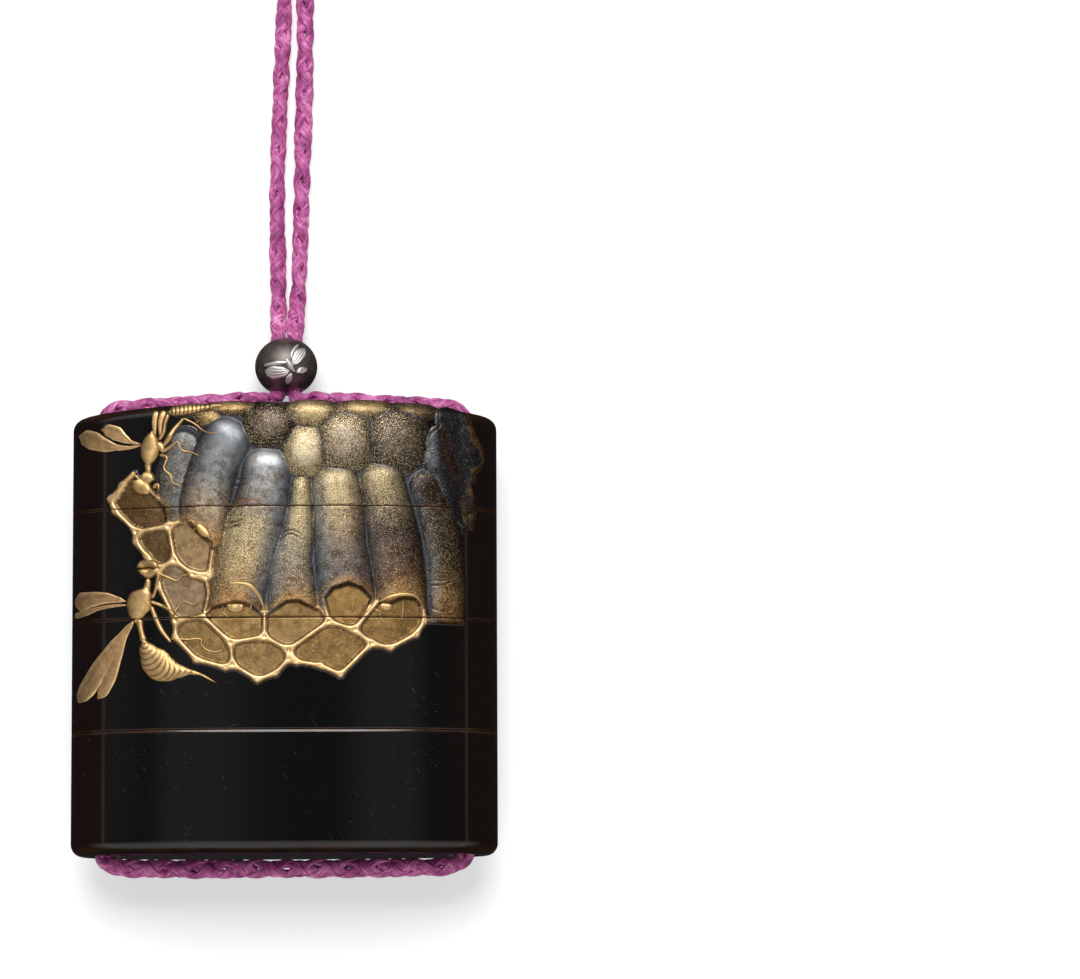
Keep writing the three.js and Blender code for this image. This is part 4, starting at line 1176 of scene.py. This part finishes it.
BACK_PARTS = [
    ("wing", 0.2, [(-0.9, -6.7, 0.2), (3, -4.6, 0.9), (8, -1.0, 1.3), (12.2, 2.1, 0.5)]),
    ("wing", 0.2, [(-1.6, -6.2, 0.2), (0.8, -3.6, 0.8), (3.4, -0.8, 1.0), (4.5, 0.9, 0.4)]),
    ("wing", 0.2, [(-2.5, -5.8, 0.2), (-4.6, -1.6, 1.1), (-7.4, 4.6, 1.6), (-9.3, 9.2, 0.5)]),
    ("wing", 0.2, [(-3.2, -5.8, 0.2), (-6.4, -2.6, 0.9), (-9.6, 1.2, 1.2), (-11.4, 3.1, 0.4)]),
    ("gold", 0.6, [(-2.0, -7.3, 0.9), (-3.2, -7.4, 1.9), (-4.6, -7.8, 1.8), (-6.0, -8.6, 0.7)]),
    ("gold", 0.35, [(-0.6, -8.3, 0.7), (-1.6, -7.9, 0.6), (-2.6, -7.5, 0.8)]),
    ("gold", 0.35, [(-5.6, -8.4, 0.5), (-6.8, -8.8, 0.35), (-7.8, -8.9, 0.4)]),
    ("stripes", 0.6, [(-7.4, -8.9, 0.3), (-8.8, -9.8, 1.6), (-10.2, -11.6, 2.2), (-12.2, -14.2, 1.3),
     (-13.4, -16.2, 0.4), (-14.2, -17.4, 0.1)]),
    ("gold", 0.6, [(-1.4, -8.1, 0.8), (-0.5, -8.5, 1.8), (0.7, -9.0, 2.0), (1.7, -9.5, 1.0)]),
    ("gold", 0.2, [(1.2, -8.0, 0.15), (1.8, -6.4, 0.14), (3.2, -5.6, 0.12)]),
    ("gold", 0.2, [(2.4, -9.6, 0.15), (4.0, -9.0, 0.14), (4.8, -10.4, 0.12)]),
    ("gold", 0.2, [(-2.0, -9.0, 0.25), (-0.6, -12.0, 0.2), (1.6, -13.4, 0.15), (3.0, -13.0, 0.1)]),
    ("gold", 0.2, [(-2.8, -9.4, 0.25), (-3.0, -12.6, 0.2), (-1.4, -14.6, 0.15)]),
    ("gold", 0.2, [(-3.8, -9.4, 0.25), (-6.0, -12.4, 0.2), (-6.4, -15.0, 0.15), (-8.0, -16.2, 0.1)]),
]


# %% [markdown]
# ## Bands of raised lacquer
# A band is smoothed along its way, crowned across it, and laid on whatever stands below. Its ends are
# closed and its feet are sunk, so it is one body with the case. Rings and stripes are engraved lines
# across it, and a wing has a vein and a bright edge.

# %% Bands of raised lacquer
CUT_DEPTH = 0.07
FEET_SUNK = 0.5
FRONT_REACH = 31.15
CALM = 9
# The distance between the engraved rings of a body, and how far each bows.
RINGED = {"rings": (0.62, 0.1), "stripes": (0.8, 0.5)}


def smooth_stations(stations, step):
    """Evenly spaced stations on a smooth curve through the given ones."""
    curve, _ = smooth_route([(x, y, 0) for x, y, _ in stations], step)
    steps = [math.dist(a[:2], b[:2]) for a, b in zip(stations, stations[1:])]
    given = np.concatenate([[0], np.cumsum(steps)])
    share = np.linspace(0, given[-1], len(curve))
    halves = [s[2] for s in stations]
    soft = ease((share[:, None] - given[:-1]) / np.diff(given))
    half = halves[0] + (soft * np.diff(halves)).sum(axis=1)
    return curve[:, :2], 0.5 * half + 0.5 * np.interp(share, given, halves), share


def band_cuts(kind, t, along, half, wide):
    """How deep and dark the engraving is at every place of a band."""
    flat = np.zeros((len(along), len(t)))
    if kind == "wing":
        return flat + 0.8 * (1 - ease(np.abs(t + 0.3) / 0.13)) * (wide > 0.5)
    if kind == "silver wing":
        lines = np.abs((2.2 * t + 0.02 * along[:, None] + 0.5) % 1 - 0.5)
        return np.maximum((1 - ease(lines / 0.24)) * (np.abs(t) < 0.85), ease((np.abs(t) - 0.93) / 0.07))
    if kind in RINGED:
        pitch, bow = RINGED[kind]
        sweep = along[:, None] + bow * wide * t**2
        phase = np.abs((sweep / pitch + 0.5) % 1 - 0.5) * pitch
        return (1 - ease(phase / 0.16)) * (half > 0.3)[:, None] * (np.abs(t) < 0.97)
    return flat


def band_colour(kind, t, crown, height):
    if kind == "wing":
        edge = np.broadcast_to(ease((np.abs(t) - 0.62) / 0.25), height.shape)
        return blend(all_over(height, WING_BROWN), linear(WING_EDGE), edge)
    pale = 0.6 * np.broadcast_to(crown, height.shape) ** 4
    shade = blend(all_over(height, WASP_GOLD), linear(WASP_PALE), pale)
    if kind == "silver wing":
        shade = blend(shade, linear(WING_SILVER), np.full(height.shape, 0.9))
    return shade


def band(kind, rise, stations, lay, under):
    """The points and colours of one band, ring by ring.
    lay puts (x, y, height) on the surface, and under is the height of what it lies on."""
    wide = max(s[2] for s in stations)
    middle, half, along = smooth_stations(stations, 0.11 if kind in RINGED else 0.2)
    ahead = np.gradient(middle, axis=0)
    ahead /= np.hypot(*ahead.T)[:, None]
    normal = np.stack([-ahead[:, 1], ahead[:, 0]], axis=1)
    steps = 41 if kind == "silver wing" else 17 if wide > 0.9 else 9
    t = np.sin(np.linspace(-math.pi / 2, math.pi / 2, steps))
    ends = np.sqrt(np.clip(np.minimum(along, along[-1] - along) / max(0.6 * wide, 0.15), 0.06, 1))
    width = half * ends
    flatness = 6 if kind in ("wing", "silver wing") else 2.2
    crown = (1 - np.abs(t) ** flatness * 0.96) ** 0.5
    lift = under(middle[:, 0], middle[:, 1])
    lift = np.convolve(np.pad(lift, CALM // 2, mode="edge"), np.ones(CALM) / CALM, mode="valid")
    fullness = 0.35 + 0.65 * np.clip(width / (0.55 * wide), 0, 1)
    height = lift[:, None] + rise * crown * fullness[:, None]
    cuts = band_cuts(kind, t, along, half, wide)
    shade = blend(band_colour(kind, t, crown, height), linear(CUT_DARK), 0.95 * cuts)
    across = middle[:, None, :] + normal[:, None, :] * (width[:, None] * t)[..., None]
    top = lay(across[..., 0], across[..., 1], height - CUT_DEPTH * cuts)
    low = np.repeat(lift[:, None], 2, axis=1) - FEET_SUNK
    feet = lay(across[:, [-1, 0], 0], across[:, [-1, 0], 1], low)
    return np.concatenate([top, feet], axis=1), np.concatenate([shade, shade[:, [-1, 0]]], axis=1)


def up_the_case(x, y):
    """The distance up the case at which a place seen from the front lies."""
    edge = edge_at(x, TOP, LID_ARCH)
    bend = np.arcsin(np.clip((y - edge) / EDGE_ROUND, 0, 0.985))
    return np.where(y > edge, edge + EDGE_ROUND * bend, y)


def lay_on_front(x, y, height):
    x = np.clip(x, -FRONT_REACH, FRONT_REACH)
    return case_point(way_at(x), up_the_case(x, y), height, LID_ARCH, TOP)


def lay_on_back(x, y, height):
    return case_point(ROUND / 2 - way_at(x), up_the_case(x, y), height, LID_ARCH, TOP)


def bands_object(name, bands):
    """All the bands as one object, each a closed body of its own, with its colours painted on."""
    points, faces, shades = [], [], []
    first = 0
    for rings, shade in bands:
        faces += ring_faces(*rings.shape[:2], first)
        points.append(rings.reshape(-1, 3))
        shades.append(shade.reshape(-1, 3))
        first += len(points[-1])
    obj = mesh_object(name, np.vstack(points) * MM, faces)
    paint(obj, "ground", np.vstack(shades), 1.0)
    paint(obj, "dust", 0.0, 0.0)
    in_edit_mode(obj, outward)
    return obj


def front_height(x, y):
    return front_relief(x, y).height


def back_height(x, y):
    return back_relief(x, y).height


front_bands = [band(*part, lay_on_front, front_height) for part in FRONT_PARTS]
back_bands = [band(*part, lay_on_back, back_height) for part in BACK_PARTS]
wasps = bands_object("wasps", front_bands + back_bands)
print(len(front_bands), "bands in front,", len(back_bands), "behind")

# %% [markdown]
# ## Cut the wasps at the seams
# On the real case the relief runs over the seams and is parted there with the wood. So the wasps are
# copied once for each piece, bisected at its two seams with a filled cut, and joined to it.

# %% Cut and join
PAST_END = 5


def cut_at(obj, height, keep_above):
    def cut():
        bpy.ops.mesh.bisect(plane_co=(0, height * MM, 0), plane_no=(0, 1, 0), use_fill=True,
                            clear_inner=keep_above, clear_outer=not keep_above)
    in_edit_mode(obj, cut)


spans = {
    "lid": (LID_SEAM + SEAM_GAP, TOP + PAST_END),
    "upper_case": (UPPER_SEAM + SEAM_GAP, LID_SEAM),
    "middle_case": (MIDDLE_SEAM + SEAM_GAP, UPPER_SEAM),
    "lower_case": (BASE - PAST_END, MIDDLE_SEAM),
}
for name, (low, high) in spans.items():
    take(wasps)
    bpy.ops.object.duplicate()
    share = bpy.context.object
    cut_at(share, low, True)
    cut_at(share, high, False)
    smooth(share)
    take(shells[name])
    share.select_set(True)
    bpy.ops.object.join()
bpy.data.objects.remove(wasps)
print("wasps on the case")

# %% [markdown]
# ## Lacquer and powders
# One finish serves the whole case. Where a point's "ground" cover is nothing, it is bare black lacquer,
# polished like glass. Where it is full, it is metal powder: a duller skin in the point's own colour, with
# a fine grain, and with bright flecks of gold dust where the point's "dust" says so.

# %% Steps that both metals and the lacquer use
def part_of(attribute):
    made = node(nodes, "ShaderNodeAttribute", attribute_name=attribute)
    return made.outputs["Color"], made.outputs["Alpha"]


def noise_at(scale, detail=2.0, roughness=0.5, vector=None):
    made = node(nodes, "ShaderNodeTexNoise", Scale=scale, Detail=detail, Roughness=roughness)
    links.new(place.outputs["Object"] if vector is None else vector, made.inputs["Vector"])
    return made.outputs["Fac"]


def between(value, low, high, to_low=0.0, to_high=1.0):
    """Turns the range from low to high into another range, and holds it at both ends."""
    made = nodes.new("ShaderNodeMapRange")
    links.new(value, made.inputs["Value"])
    for socket, number in zip(("From Min", "From Max", "To Min", "To Max"), (low, high, to_low, to_high)):
        made.inputs[socket].default_value = number
    return made.outputs["Result"]


def mixed(factor, first, second, kind="MIX"):
    made = node(nodes, "ShaderNodeMix", data_type="RGBA", blend_type=kind)
    for socket, value in ((made.inputs[0], factor), (made.inputs[6], first), (made.inputs[7], second)):
        feed(socket, value)
    return made.outputs[2]


def bumped(shader, height, strength, distance):
    bump = node(nodes, "ShaderNodeBump", Strength=strength, Distance=distance)
    links.new(height, bump.inputs["Height"])
    links.new(bump.outputs[0], shader.inputs["Normal"])


# %% Powder
lacquer, nodes, links = new_material("lacquer and powder")
shader = nodes["Principled BSDF"]
place = nodes.new("ShaderNodeTexCoord")
ground, cover = part_of("ground")
_, dust = part_of("dust")
cloud = noise_at(900.0, 4.0, 0.65)
grain = noise_at(7000.0)
grit = between(dust, 0.02, 0.45, 0.22, 1.0)
cloudy = mixed(between(cloud, 0.3, 0.7), (0.72, 0.71, 0.69, 1), (1.3, 1.3, 1.28, 1))
powder = mixed(1.0, ground, cloudy, "MULTIPLY")
gritty = mixed(between(grain, 0.34, 0.66), (0.38, 0.37, 0.36, 1), (1.64, 1.64, 1.64, 1))
powder = mixed(grit, powder, mixed(1.0, powder, gritty, "MULTIPLY"))
mottle = noise_at(620.0, 4.0, 0.6)
streaked = times(between(mottle, 0.50, 0.57), times(between(dust, 0.0, 0.04), 0.68))
powder = mixed(streaked, powder, mixed(1.0, powder, (0.50, 0.40, 0.34, 1), "MULTIPLY"))
uneven_dust = maths("ADD", dust, times(maths("SUBTRACT", cloud, 0.5), 0.5))
fleck_edge = between(uneven_dust, 0.0, 1.0, 0.76, 0.50)
fleck = between(maths("SUBTRACT", noise_at(8600.0, 0.0), fleck_edge), 0.0, 0.03)
fleck = times(fleck, maths("GREATER_THAN", dust, 0.02))
powder = mixed(times(fleck, 0.8), powder, (0.66, 0.53, 0.31, 1))
print("powder mixed")

# %% [markdown]
# ## Bare lacquer
# Bare lacquer is black, a little redder down the two ends, where old lacquer turns brown. It carries
# pale specks and short hair scratches where hands have rubbed it. All of it is one skin as smooth as
# glass, so only its colour changes.

# %% Bare lacquer
sides = nodes.new("ShaderNodeSeparateXYZ")
links.new(place.outputs["Object"], sides.inputs[0])
flank = between(maths("ABSOLUTE", sides.outputs["X"]), 0.0225, 0.0275)
bare = mixed(flank, (0.0045, 0.0042, 0.0042, 1), (0.0075, 0.0042, 0.0035, 1))
speck = between(noise_at(3600.0, 0.0), 0.925, 0.935)
bare = mixed(speck, bare, (0.5, 0.48, 0.45, 1))


def hairlines(turn, threshold):
    """Short fine scratches: noise drawn out into thin streaks, of which only the strongest show."""
    drawn = node(nodes, "ShaderNodeMapping", vector_type="TEXTURE")
    drawn.inputs["Rotation"].default_value = (0, 0, turn)
    drawn.inputs["Scale"].default_value = (26, 1, 1)
    links.new(place.outputs["Object"], drawn.inputs["Vector"])
    return between(noise_at(6500.0, 0.0, vector=drawn.outputs[0]), threshold, threshold + 0.05)


handled = times(between(noise_at(90.0, 1.0), 0.44, 0.6), maths("SUBTRACT", 1.0, flank))
scratch = maths("MAXIMUM", hairlines(0.35, 0.79), hairlines(-1.0, 0.80))
bare = mixed(times(scratch, handled), bare, (0.034, 0.033, 0.033, 1))
print("bare lacquer mixed")

# %% Both in one finish
POLISH = 0.07
links.new(mixed(cover, bare, powder), shader.inputs["Base Color"])
links.new(times(cover, between(fleck, 0.0, 1.0, 0.82, 0.95)), shader.inputs["Metallic"])
duller = maths("SUBTRACT", between(grain, 0.3, 0.7, 0.34, 0.47), POLISH)
links.new(maths("ADD", POLISH, times(cover, duller)), shader.inputs["Roughness"])
grains = times(grit, maths("ADD", times(grain, 0.6), times(fleck, 0.4)))
swells = times(cloud, times(cover, between(dust, 0.0, 0.15, 0.2, 0.8)))
bumped(shader, maths("ADD", times(grains, cover), swells), 0.5, 0.09 * MM)
for name, obj in shells.items():
    dress(obj, "lacquer", lacquer, name)

# %% [markdown]
# ## The bead
# The ojime is a ball of dark metal, a little pressed along its bore, with a butterfly in low silver
# relief on the side that shows. The bore is flat and wide, to take both strands side by side. The ball
# is built ring by ring, bored with a boolean, and the butterfly is laid on it as bands.

# %% The bead
BEAD = {"x": -0.2, "y": 40.75, "z": 4.67, "radius": 4.65, "half": 4.3, "tilt": math.radians(8)}
BORE_WIDE, BORE_DEEP = 2.75, 1.55
# The bore's flared mouths: how wide it is at each distance along it.
BORE_PROFILE = [(1.35, -4.6), (1.12, -4.0), (1.0, -3.6), (1.0, 3.6), (1.12, 4.0), (1.35, 4.6)]


def bead_place(points):
    """From the bead's own axes, with its bore along y, to its place on the cord."""
    cos, sin = math.cos(BEAD["tilt"]), math.sin(BEAD["tilt"])
    turned = points.copy()
    turned[..., 1] = points[..., 1] * cos + points[..., 2] * sin
    turned[..., 2] = points[..., 2] * cos - points[..., 1] * sin
    return turned + np.array([BEAD["x"], BEAD["y"], BEAD["z"]])


def lay_on_bead(x, y, height):
    """A place seen from the front, relative to the bead's middle, at a height above its surface."""
    lean = BEAD["tilt"] + TIP
    wide, half = BEAD["radius"], BEAD["half"]
    cos, sin = math.cos(lean), math.sin(lean)
    a = cos**2 / wide**2 + sin**2 / half**2
    b = 2 * y * (sin * cos / wide**2 - sin * cos / half**2)
    c = (x / wide) ** 2 + y**2 * (sin**2 / wide**2 + cos**2 / half**2) - 1
    toward = (-b + np.sqrt(np.clip(b * b - 4 * a * c, 0.0, None))) / (2 * a)
    point = np.stack([x, y * cos - toward * sin, y * sin + toward * cos], axis=-1)
    outward_way = point / np.array([wide**2, half**2, wide**2])
    outward_way /= np.linalg.norm(outward_way, axis=-1)[..., None]
    return bead_place(point + outward_way * height[..., None])


BUTTERFLY_PARTS = [
    ("silver wing", 0.3, [(0.8, -0.6, 0.2), (-0.4, -0.85, 0.82), (-1.7, -0.9, 1.0), (-2.9, -0.6, 0.55)]),
    ("gold", 0.45, [(0.45, 0.5, 0.2), (-1.0, 0.5, 0.32), (-3.0, 0.1, 0.24)]),
    ("gold", 0.6, [(0.1, 1.15, 0.24), (0.75, 0.2, 0.38), (1.4, -0.9, 0.2)]),
    ("silver wing", 0.3, [(1.15, 0.15, 0.2), (1.65, 0.85, 0.72), (2.2, 1.7, 0.84), (2.75, 2.6, 0.45)]),
    ("gold", 0.45, [(0.85, 1.05, 0.18), (1.15, 2.1, 0.3), (1.9, 3.1, 0.22)]),
    ("silver wing", 0.3, [(1.65, -0.85, 0.18), (2.45, -0.6, 0.5), (3.2, -0.35, 0.26)]),
    ("silver wing", 0.3, [(1.0, -1.0, 0.18), (0.6, -1.8, 0.5), (0.2, -2.6, 0.22)]),
]


def on_bare(x, y):
    return np.zeros_like(x)


def bead_rings(sides, levels):
    """Oval rings on the bead's axis: each level is (half width, half depth, place along the bore)."""
    around = np.arange(sides) * 2 * math.pi / sides
    return [bead_place(np.stack([wide * np.cos(around), np.full_like(around, y), deep * np.sin(around)],
                                axis=1)) for wide, deep, y in levels]


turns = np.linspace(-math.pi / 2, math.pi / 2, 65)
radii = [BEAD["radius"] * max(math.cos(a), 0.01) for a in turns]
ball = bead_rings(120, [(r, r, BEAD["half"] * math.sin(a)) for r, a in zip(radii, turns)])
bead = ring_object("bead", ball)
paint(bead, "silver", 0.0, 0.0)
bore = ring_object("bore", bead_rings(40, [(BORE_WIDE * r, BORE_DEEP * r, y) for r, y in BORE_PROFILE]))
combine(bead, bore, "DIFFERENCE")
smooth(bead)
butterfly = bands_object("butterfly", [band(*part, lay_on_bead, on_bare) for part in BUTTERFLY_PARTS])
paint(butterfly, "silver", 1.0, 1.0)
smooth(butterfly)
take(bead)
butterfly.select_set(True)
bpy.ops.object.join()
print("the bead is", 2 * BEAD["radius"], "mm across")

# %% [markdown]
# ## Dark metal with rubbed silver
# The bead's alloy is pickled nearly black, and the silver butterfly is rubbed bright where fingers reach
# it and stays dark in its cuts. Two tones of noise make the patina, and the painted colour of each band
# tells how bright the silver is.

# %% The bead's metal
metal, nodes, links = new_material("dark bead metal")
shader = nodes["Principled BSDF"]
place = nodes.new("ShaderNodeTexCoord")
tone, _ = part_of("ground")
_, silver = part_of("silver")
haze = noise_at(700.0, 4.0, 0.6)
dark = mixed(between(haze, 0.3, 0.7), (0.13, 0.108, 0.095, 1), (0.24, 0.21, 0.19, 1))
lightness = nodes.new("ShaderNodeRGBToBW")
links.new(tone, lightness.inputs[0])
rubbed = between(lightness.outputs[0], 0.02, 0.3)
bright = mixed(rubbed, (0.05, 0.045, 0.04, 1), (0.90, 0.87, 0.82, 1))
links.new(mixed(silver, dark, bright), shader.inputs["Base Color"])
shader.inputs["Metallic"].default_value = 0.85
links.new(between(haze, 0.3, 0.7, 0.42, 0.54), shader.inputs["Roughness"])
bumped(shader, noise_at(6000.0), 0.25, 0.05 * MM)
dress(bead, "bead_metal", metal, "ojime")

# %% [markdown]
# ## The cord
# The silk cord is one round braid of four strands, two turning each way, which pass over and under
# each other. It goes down one channel of the case, under the base and up the other. Its two ends pass
# through the bead and are knotted together. Each strand here is a tube that winds round the cord's
# middle line and swings out where it lies on top. The middle line is the one that the solids follow.

# %% The cord's route
CORD = 2.3
LYING = CORD / 2 + 0.02
COIL = {"x": 12.1, "y": 116.5, "outer": 12.7, "inner": 10.3, "end": -84, "step": 24}
HELD_HALF = [
    (-6.8, 34.75), (-12, 34.4), (-17, 34.15), (-21, 33.9), (-24.25, 33.6), (-25.98, 32.87), (-26.7, 31.14),
    (-26.95, 26), (-27, 9), (-27, -9), (-26.95, -27), (-26.7, -31.6), (-25.98, -33.38),
    (-24.25, -34.08), (-18, -34.3), (-9, -34.38), (0, -34.4),
]
LEFT_START = [
    (-6.5, 34.75, 11.15), (-4.8, 34.9, 10.8), (-3.6, 35.0, 9.3), (-2.5, 35.2, 7.2), (-1.75, 35.8, 5.85),
    (-1.4, 36.8, 5.22), (-1.4, 40.75, 4.67), (-1.4, 44.7, 4.12), (-1.45, 47.8, 2.7), (-1.5, 51.3, 1.45),
    (-1.6, 55, LYING), (-1.75, 69.6, LYING), (-1, 90, LYING), (-0.65, 101, LYING), (-0.6, 109, LYING),
]
RIGHT_START = [
    (6.5, 34.75, 11.15), (4.6, 34.9, 10.8), (3.3, 35.0, 9.3), (2.1, 35.2, 7.2), (1.35, 35.8, 5.85),
    (1, 36.8, 5.22), (1, 40.75, 4.67), (1, 44.7, 4.12), (1.1, 47.8, 2.7), (1.35, 51.3, 1.45),
    (1.55, 55, LYING), (1.95, 69.6, LYING), (2.4, 90, LYING), (2.3, 101, LYING), (1.9, 109, LYING),
]


def coil_turn(radius):
    turns = np.radians(np.arange(180, COIL["end"] - 1, -COIL["step"]))
    return [(COIL["x"] + radius * math.cos(a), COIL["y"] + radius * math.sin(a), LYING) for a in turns]


held_left = [(x, y, CASE_MIDDLE_Z) for x, y in HELD_HALF]
held_right = [(-x, y, z) for x, y, z in held_left[-2::-1]]
CORD_STEP = 0.25
routes = {
    "cord_held": smooth_route(held_left + held_right, CORD_STEP),
    "cord_left": smooth_route(LEFT_START + coil_turn(COIL["outer"]), CORD_STEP),
    "cord_right": smooth_route(RIGHT_START + coil_turn(COIL["inner"]), CORD_STEP),
}
for name, (points, along) in routes.items():
    print(name, "is", round(along[-1], 1), "mm long")

# %% [markdown]
# ## Four strands
# Each strand is an oval tube that winds round the middle line. Two wind to the left and two to the
# right. Where a strand crosses over the others it swings out and where it dives under it swings in,
# which is what makes a round braid look woven. Slow waves keep it from looking machine-made.

# %% Four strands round the route
PITCH = 9.0
STRAND_RING = 0.63
STRAND_SWING = 0.15
STRAND_DEEP = 0.50
STRAND_WIDE = 0.84
STRAND_SIDES = 12
STRAND_GIRTH = 3.4
STRAND_APART = 37.0


def slow_wave(along, seed, size):
    """A gentle, repeatable unevenness along the cord."""
    waves = ((31.0, 0.9), (17.0, 1.7), (9.3, 2.9))
    return size * sum(np.sin(2 * math.pi * along / length + seed * turn) for length, turn in waves) / 3


def unit(rows):
    return rows / np.linalg.norm(rows, axis=1)[:, None]


def braid(name, route, seed, widen=None, phase=0.0):
    """Four strands round a route, each a closed tube, with a thread attribute for the silk."""
    points, along = route
    ahead = unit(np.gradient(points, axis=0))
    side = unit(np.cross(ahead, (0, 0, 1)))
    up = np.cross(side, ahead)
    wide = 1 + slow_wave(along, seed, 0.07) + (0 if widen is None else widen(along))
    tall = np.minimum(1.0, 1 / wide ** 0.5)
    turns = np.arange(STRAND_SIDES) * 2 * math.pi / STRAND_SIDES
    strands, faces, thread = [], [], []
    for strand in range(4):
        turning = 1 if strand < 2 else -1
        angle = phase + turning * 2 * math.pi * along / PITCH + math.pi * (strand % 2)
        angle += slow_wave(along, seed + 3, 0.9)
        ring = STRAND_RING + STRAND_SWING * turning * np.cos(4 * math.pi * along / PITCH)
        out = side * (wide * np.cos(angle))[:, None] + up * (tall * np.sin(angle))[:, None]
        middle = points + out * ring[:, None]
        along_strand = unit(np.gradient(middle, axis=0))
        radial = unit(out - along_strand * np.sum(out * along_strand, axis=1)[:, None])
        across = np.cross(along_strand, radial) * wide[:, None]
        full = (1 + slow_wave(along, seed + 7 * strand, 0.10))[:, None]
        sections = [middle + full * (STRAND_DEEP * math.cos(a) * radial + STRAND_WIDE * math.sin(a) * across)
                    for a in turns]
        faces += ring_faces(len(points), STRAND_SIDES, strand * len(points) * STRAND_SIDES)
        strands.append(np.stack(sections, axis=1).reshape(-1, 3))
        around = np.tile(np.arange(STRAND_SIDES) / STRAND_SIDES, len(points))
        drawn = np.repeat(along, STRAND_SIDES) + STRAND_APART * strand
        thread.append(np.stack([drawn, around * STRAND_GIRTH], axis=1))
    obj = mesh_object(name, np.vstack(strands) * MM, faces)
    flip_if_inside_out(obj)
    paint_thread(obj, np.vstack(thread))
    smooth(obj)
    return obj


def paint_thread(obj, thread):
    """Stores, at each point, how far along and how far round its strand it lies, in millimetres."""
    layer = obj.data.attributes.new("thread", "FLOAT2", "POINT")
    layer.data.foreach_set("vector", thread.astype(np.float32).ravel())


def fuller(along, amount, start, start_soft, end, end_soft):
    """An extra width that comes in softly at one distance and goes at another."""
    return amount / (1 + np.exp(-(along - start) / start_soft)) / (1 + np.exp((along - end) / end_soft))


def widens(along):
    """Both free cords press against each other where they leave the bead."""
    return fuller(along, 0.15, 12, 1.0, 22, 1.5)


def right_widens(along):
    """The right one is also looser further up."""
    return widens(along) + fuller(along, 0.20, 45, 6, 82, 4)


def held_widens(along):
    """The braid is fuller where it lies loose under the base."""
    return 0.24 / (1 + np.exp((np.abs(along - along[-1] / 2) - 23) / 2))


cords = {
    "cord_held": braid("braid_held", routes["cord_held"], 1.0, widen=held_widens),
    "cord_left": braid("braid_left", routes["cord_left"], 2.0, widen=widens, phase=0.6),
    "cord_right": braid("braid_right", routes["cord_right"], 4.3, widen=right_widens, phase=1.3),
}
print("three stretches of cord")

# %% [markdown]
# ## The knot
# The two ends are tied together in an overhand knot, which as a closed line is a trefoil. It is the same
# braid, sent round that line.

# %% The knot
KNOT = {"x": 10.4, "y": 105.3, "size": 0.62}
turns = np.linspace(0, 2 * math.pi, 80)
loop = np.stack([KNOT["x"] + KNOT["size"] * (np.sin(turns) + 2 * np.sin(2 * turns)),
                 KNOT["y"] + KNOT["size"] * (np.cos(turns) - 2 * np.cos(2 * turns)),
                 LYING + 1.1 - 1.15 * np.sin(3 * turns)], axis=1)
knot = braid("knot_tied", smooth_route(loop[::4], CORD_STEP), 6.1, phase=0.4)

# %% [markdown]
# ## The silk
# Each strand is a bundle of fine parallel filaments, so the noise that colours and raises it is drawn
# out along the strand. The dye is a strong magenta; the noise streaks it deep purple and pale pink, partly
# the silk's uneven dye and partly painted shade and painted sheen.

# %% Silk
silk, nodes, links = new_material("magenta silk")
shader = nodes["Principled BSDF"]
place = nodes.new("ShaderNodeTexCoord")
thread = node(nodes, "ShaderNodeAttribute", attribute_name="thread")
drawn_out = node(nodes, "ShaderNodeMapping")
drawn_out.inputs["Scale"].default_value = (0.75, 3.6, 1)
links.new(thread.outputs["Vector"], drawn_out.inputs["Vector"])
filaments = noise_at(1.0, 3.0, 0.7, vector=drawn_out.outputs[0])
blotched = node(nodes, "ShaderNodeMix", data_type="FLOAT", Factor=0.35)
links.new(filaments, blotched.inputs[2])
links.new(noise_at(420.0), blotched.inputs[3])
ramp = nodes.new("ShaderNodeValToRGB")
shadow, shine = ramp.color_ramp.elements
shadow.position, shine.position = 0.36, 0.66
shadow.color = (0.115, 0.009, 0.07, 1)
shine.color = (0.95, 0.38, 0.69, 1)
ramp.color_ramp.elements.new(0.5).color = (0.46, 0.068, 0.27, 1)
links.new(blotched.outputs[0], ramp.inputs["Fac"])
links.new(ramp.outputs["Color"], shader.inputs["Base Color"])
shader.inputs["Roughness"].default_value = 0.5
shader.inputs["Specular IOR Level"].default_value = 0.45
shader.inputs["Sheen Weight"].default_value = 0.35
shader.inputs["Sheen Roughness"].default_value = 0.4
shader.inputs["Sheen Tint"].default_value = (1.0, 0.62, 0.86, 1)
bumped(shader, filaments, 0.6, 0.15 * MM)

for name, obj in cords.items():
    dress(obj, "cord_silk", silk, name)
dress(knot, "cord_silk", silk, "knot")

# %% [markdown]
# ## The cord's free ends
# The two free ends of the cord are soft on the real object. Here their routes are only looked up again;
# nothing is made from them.

for side, name in (("left", "cord_left"), ("right", "cord_right")):
    points, along = routes[name]

# %% [markdown]
# ## Sizes
# The box round the finished object is worked out.

# %% Sizes and the end
low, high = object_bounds()
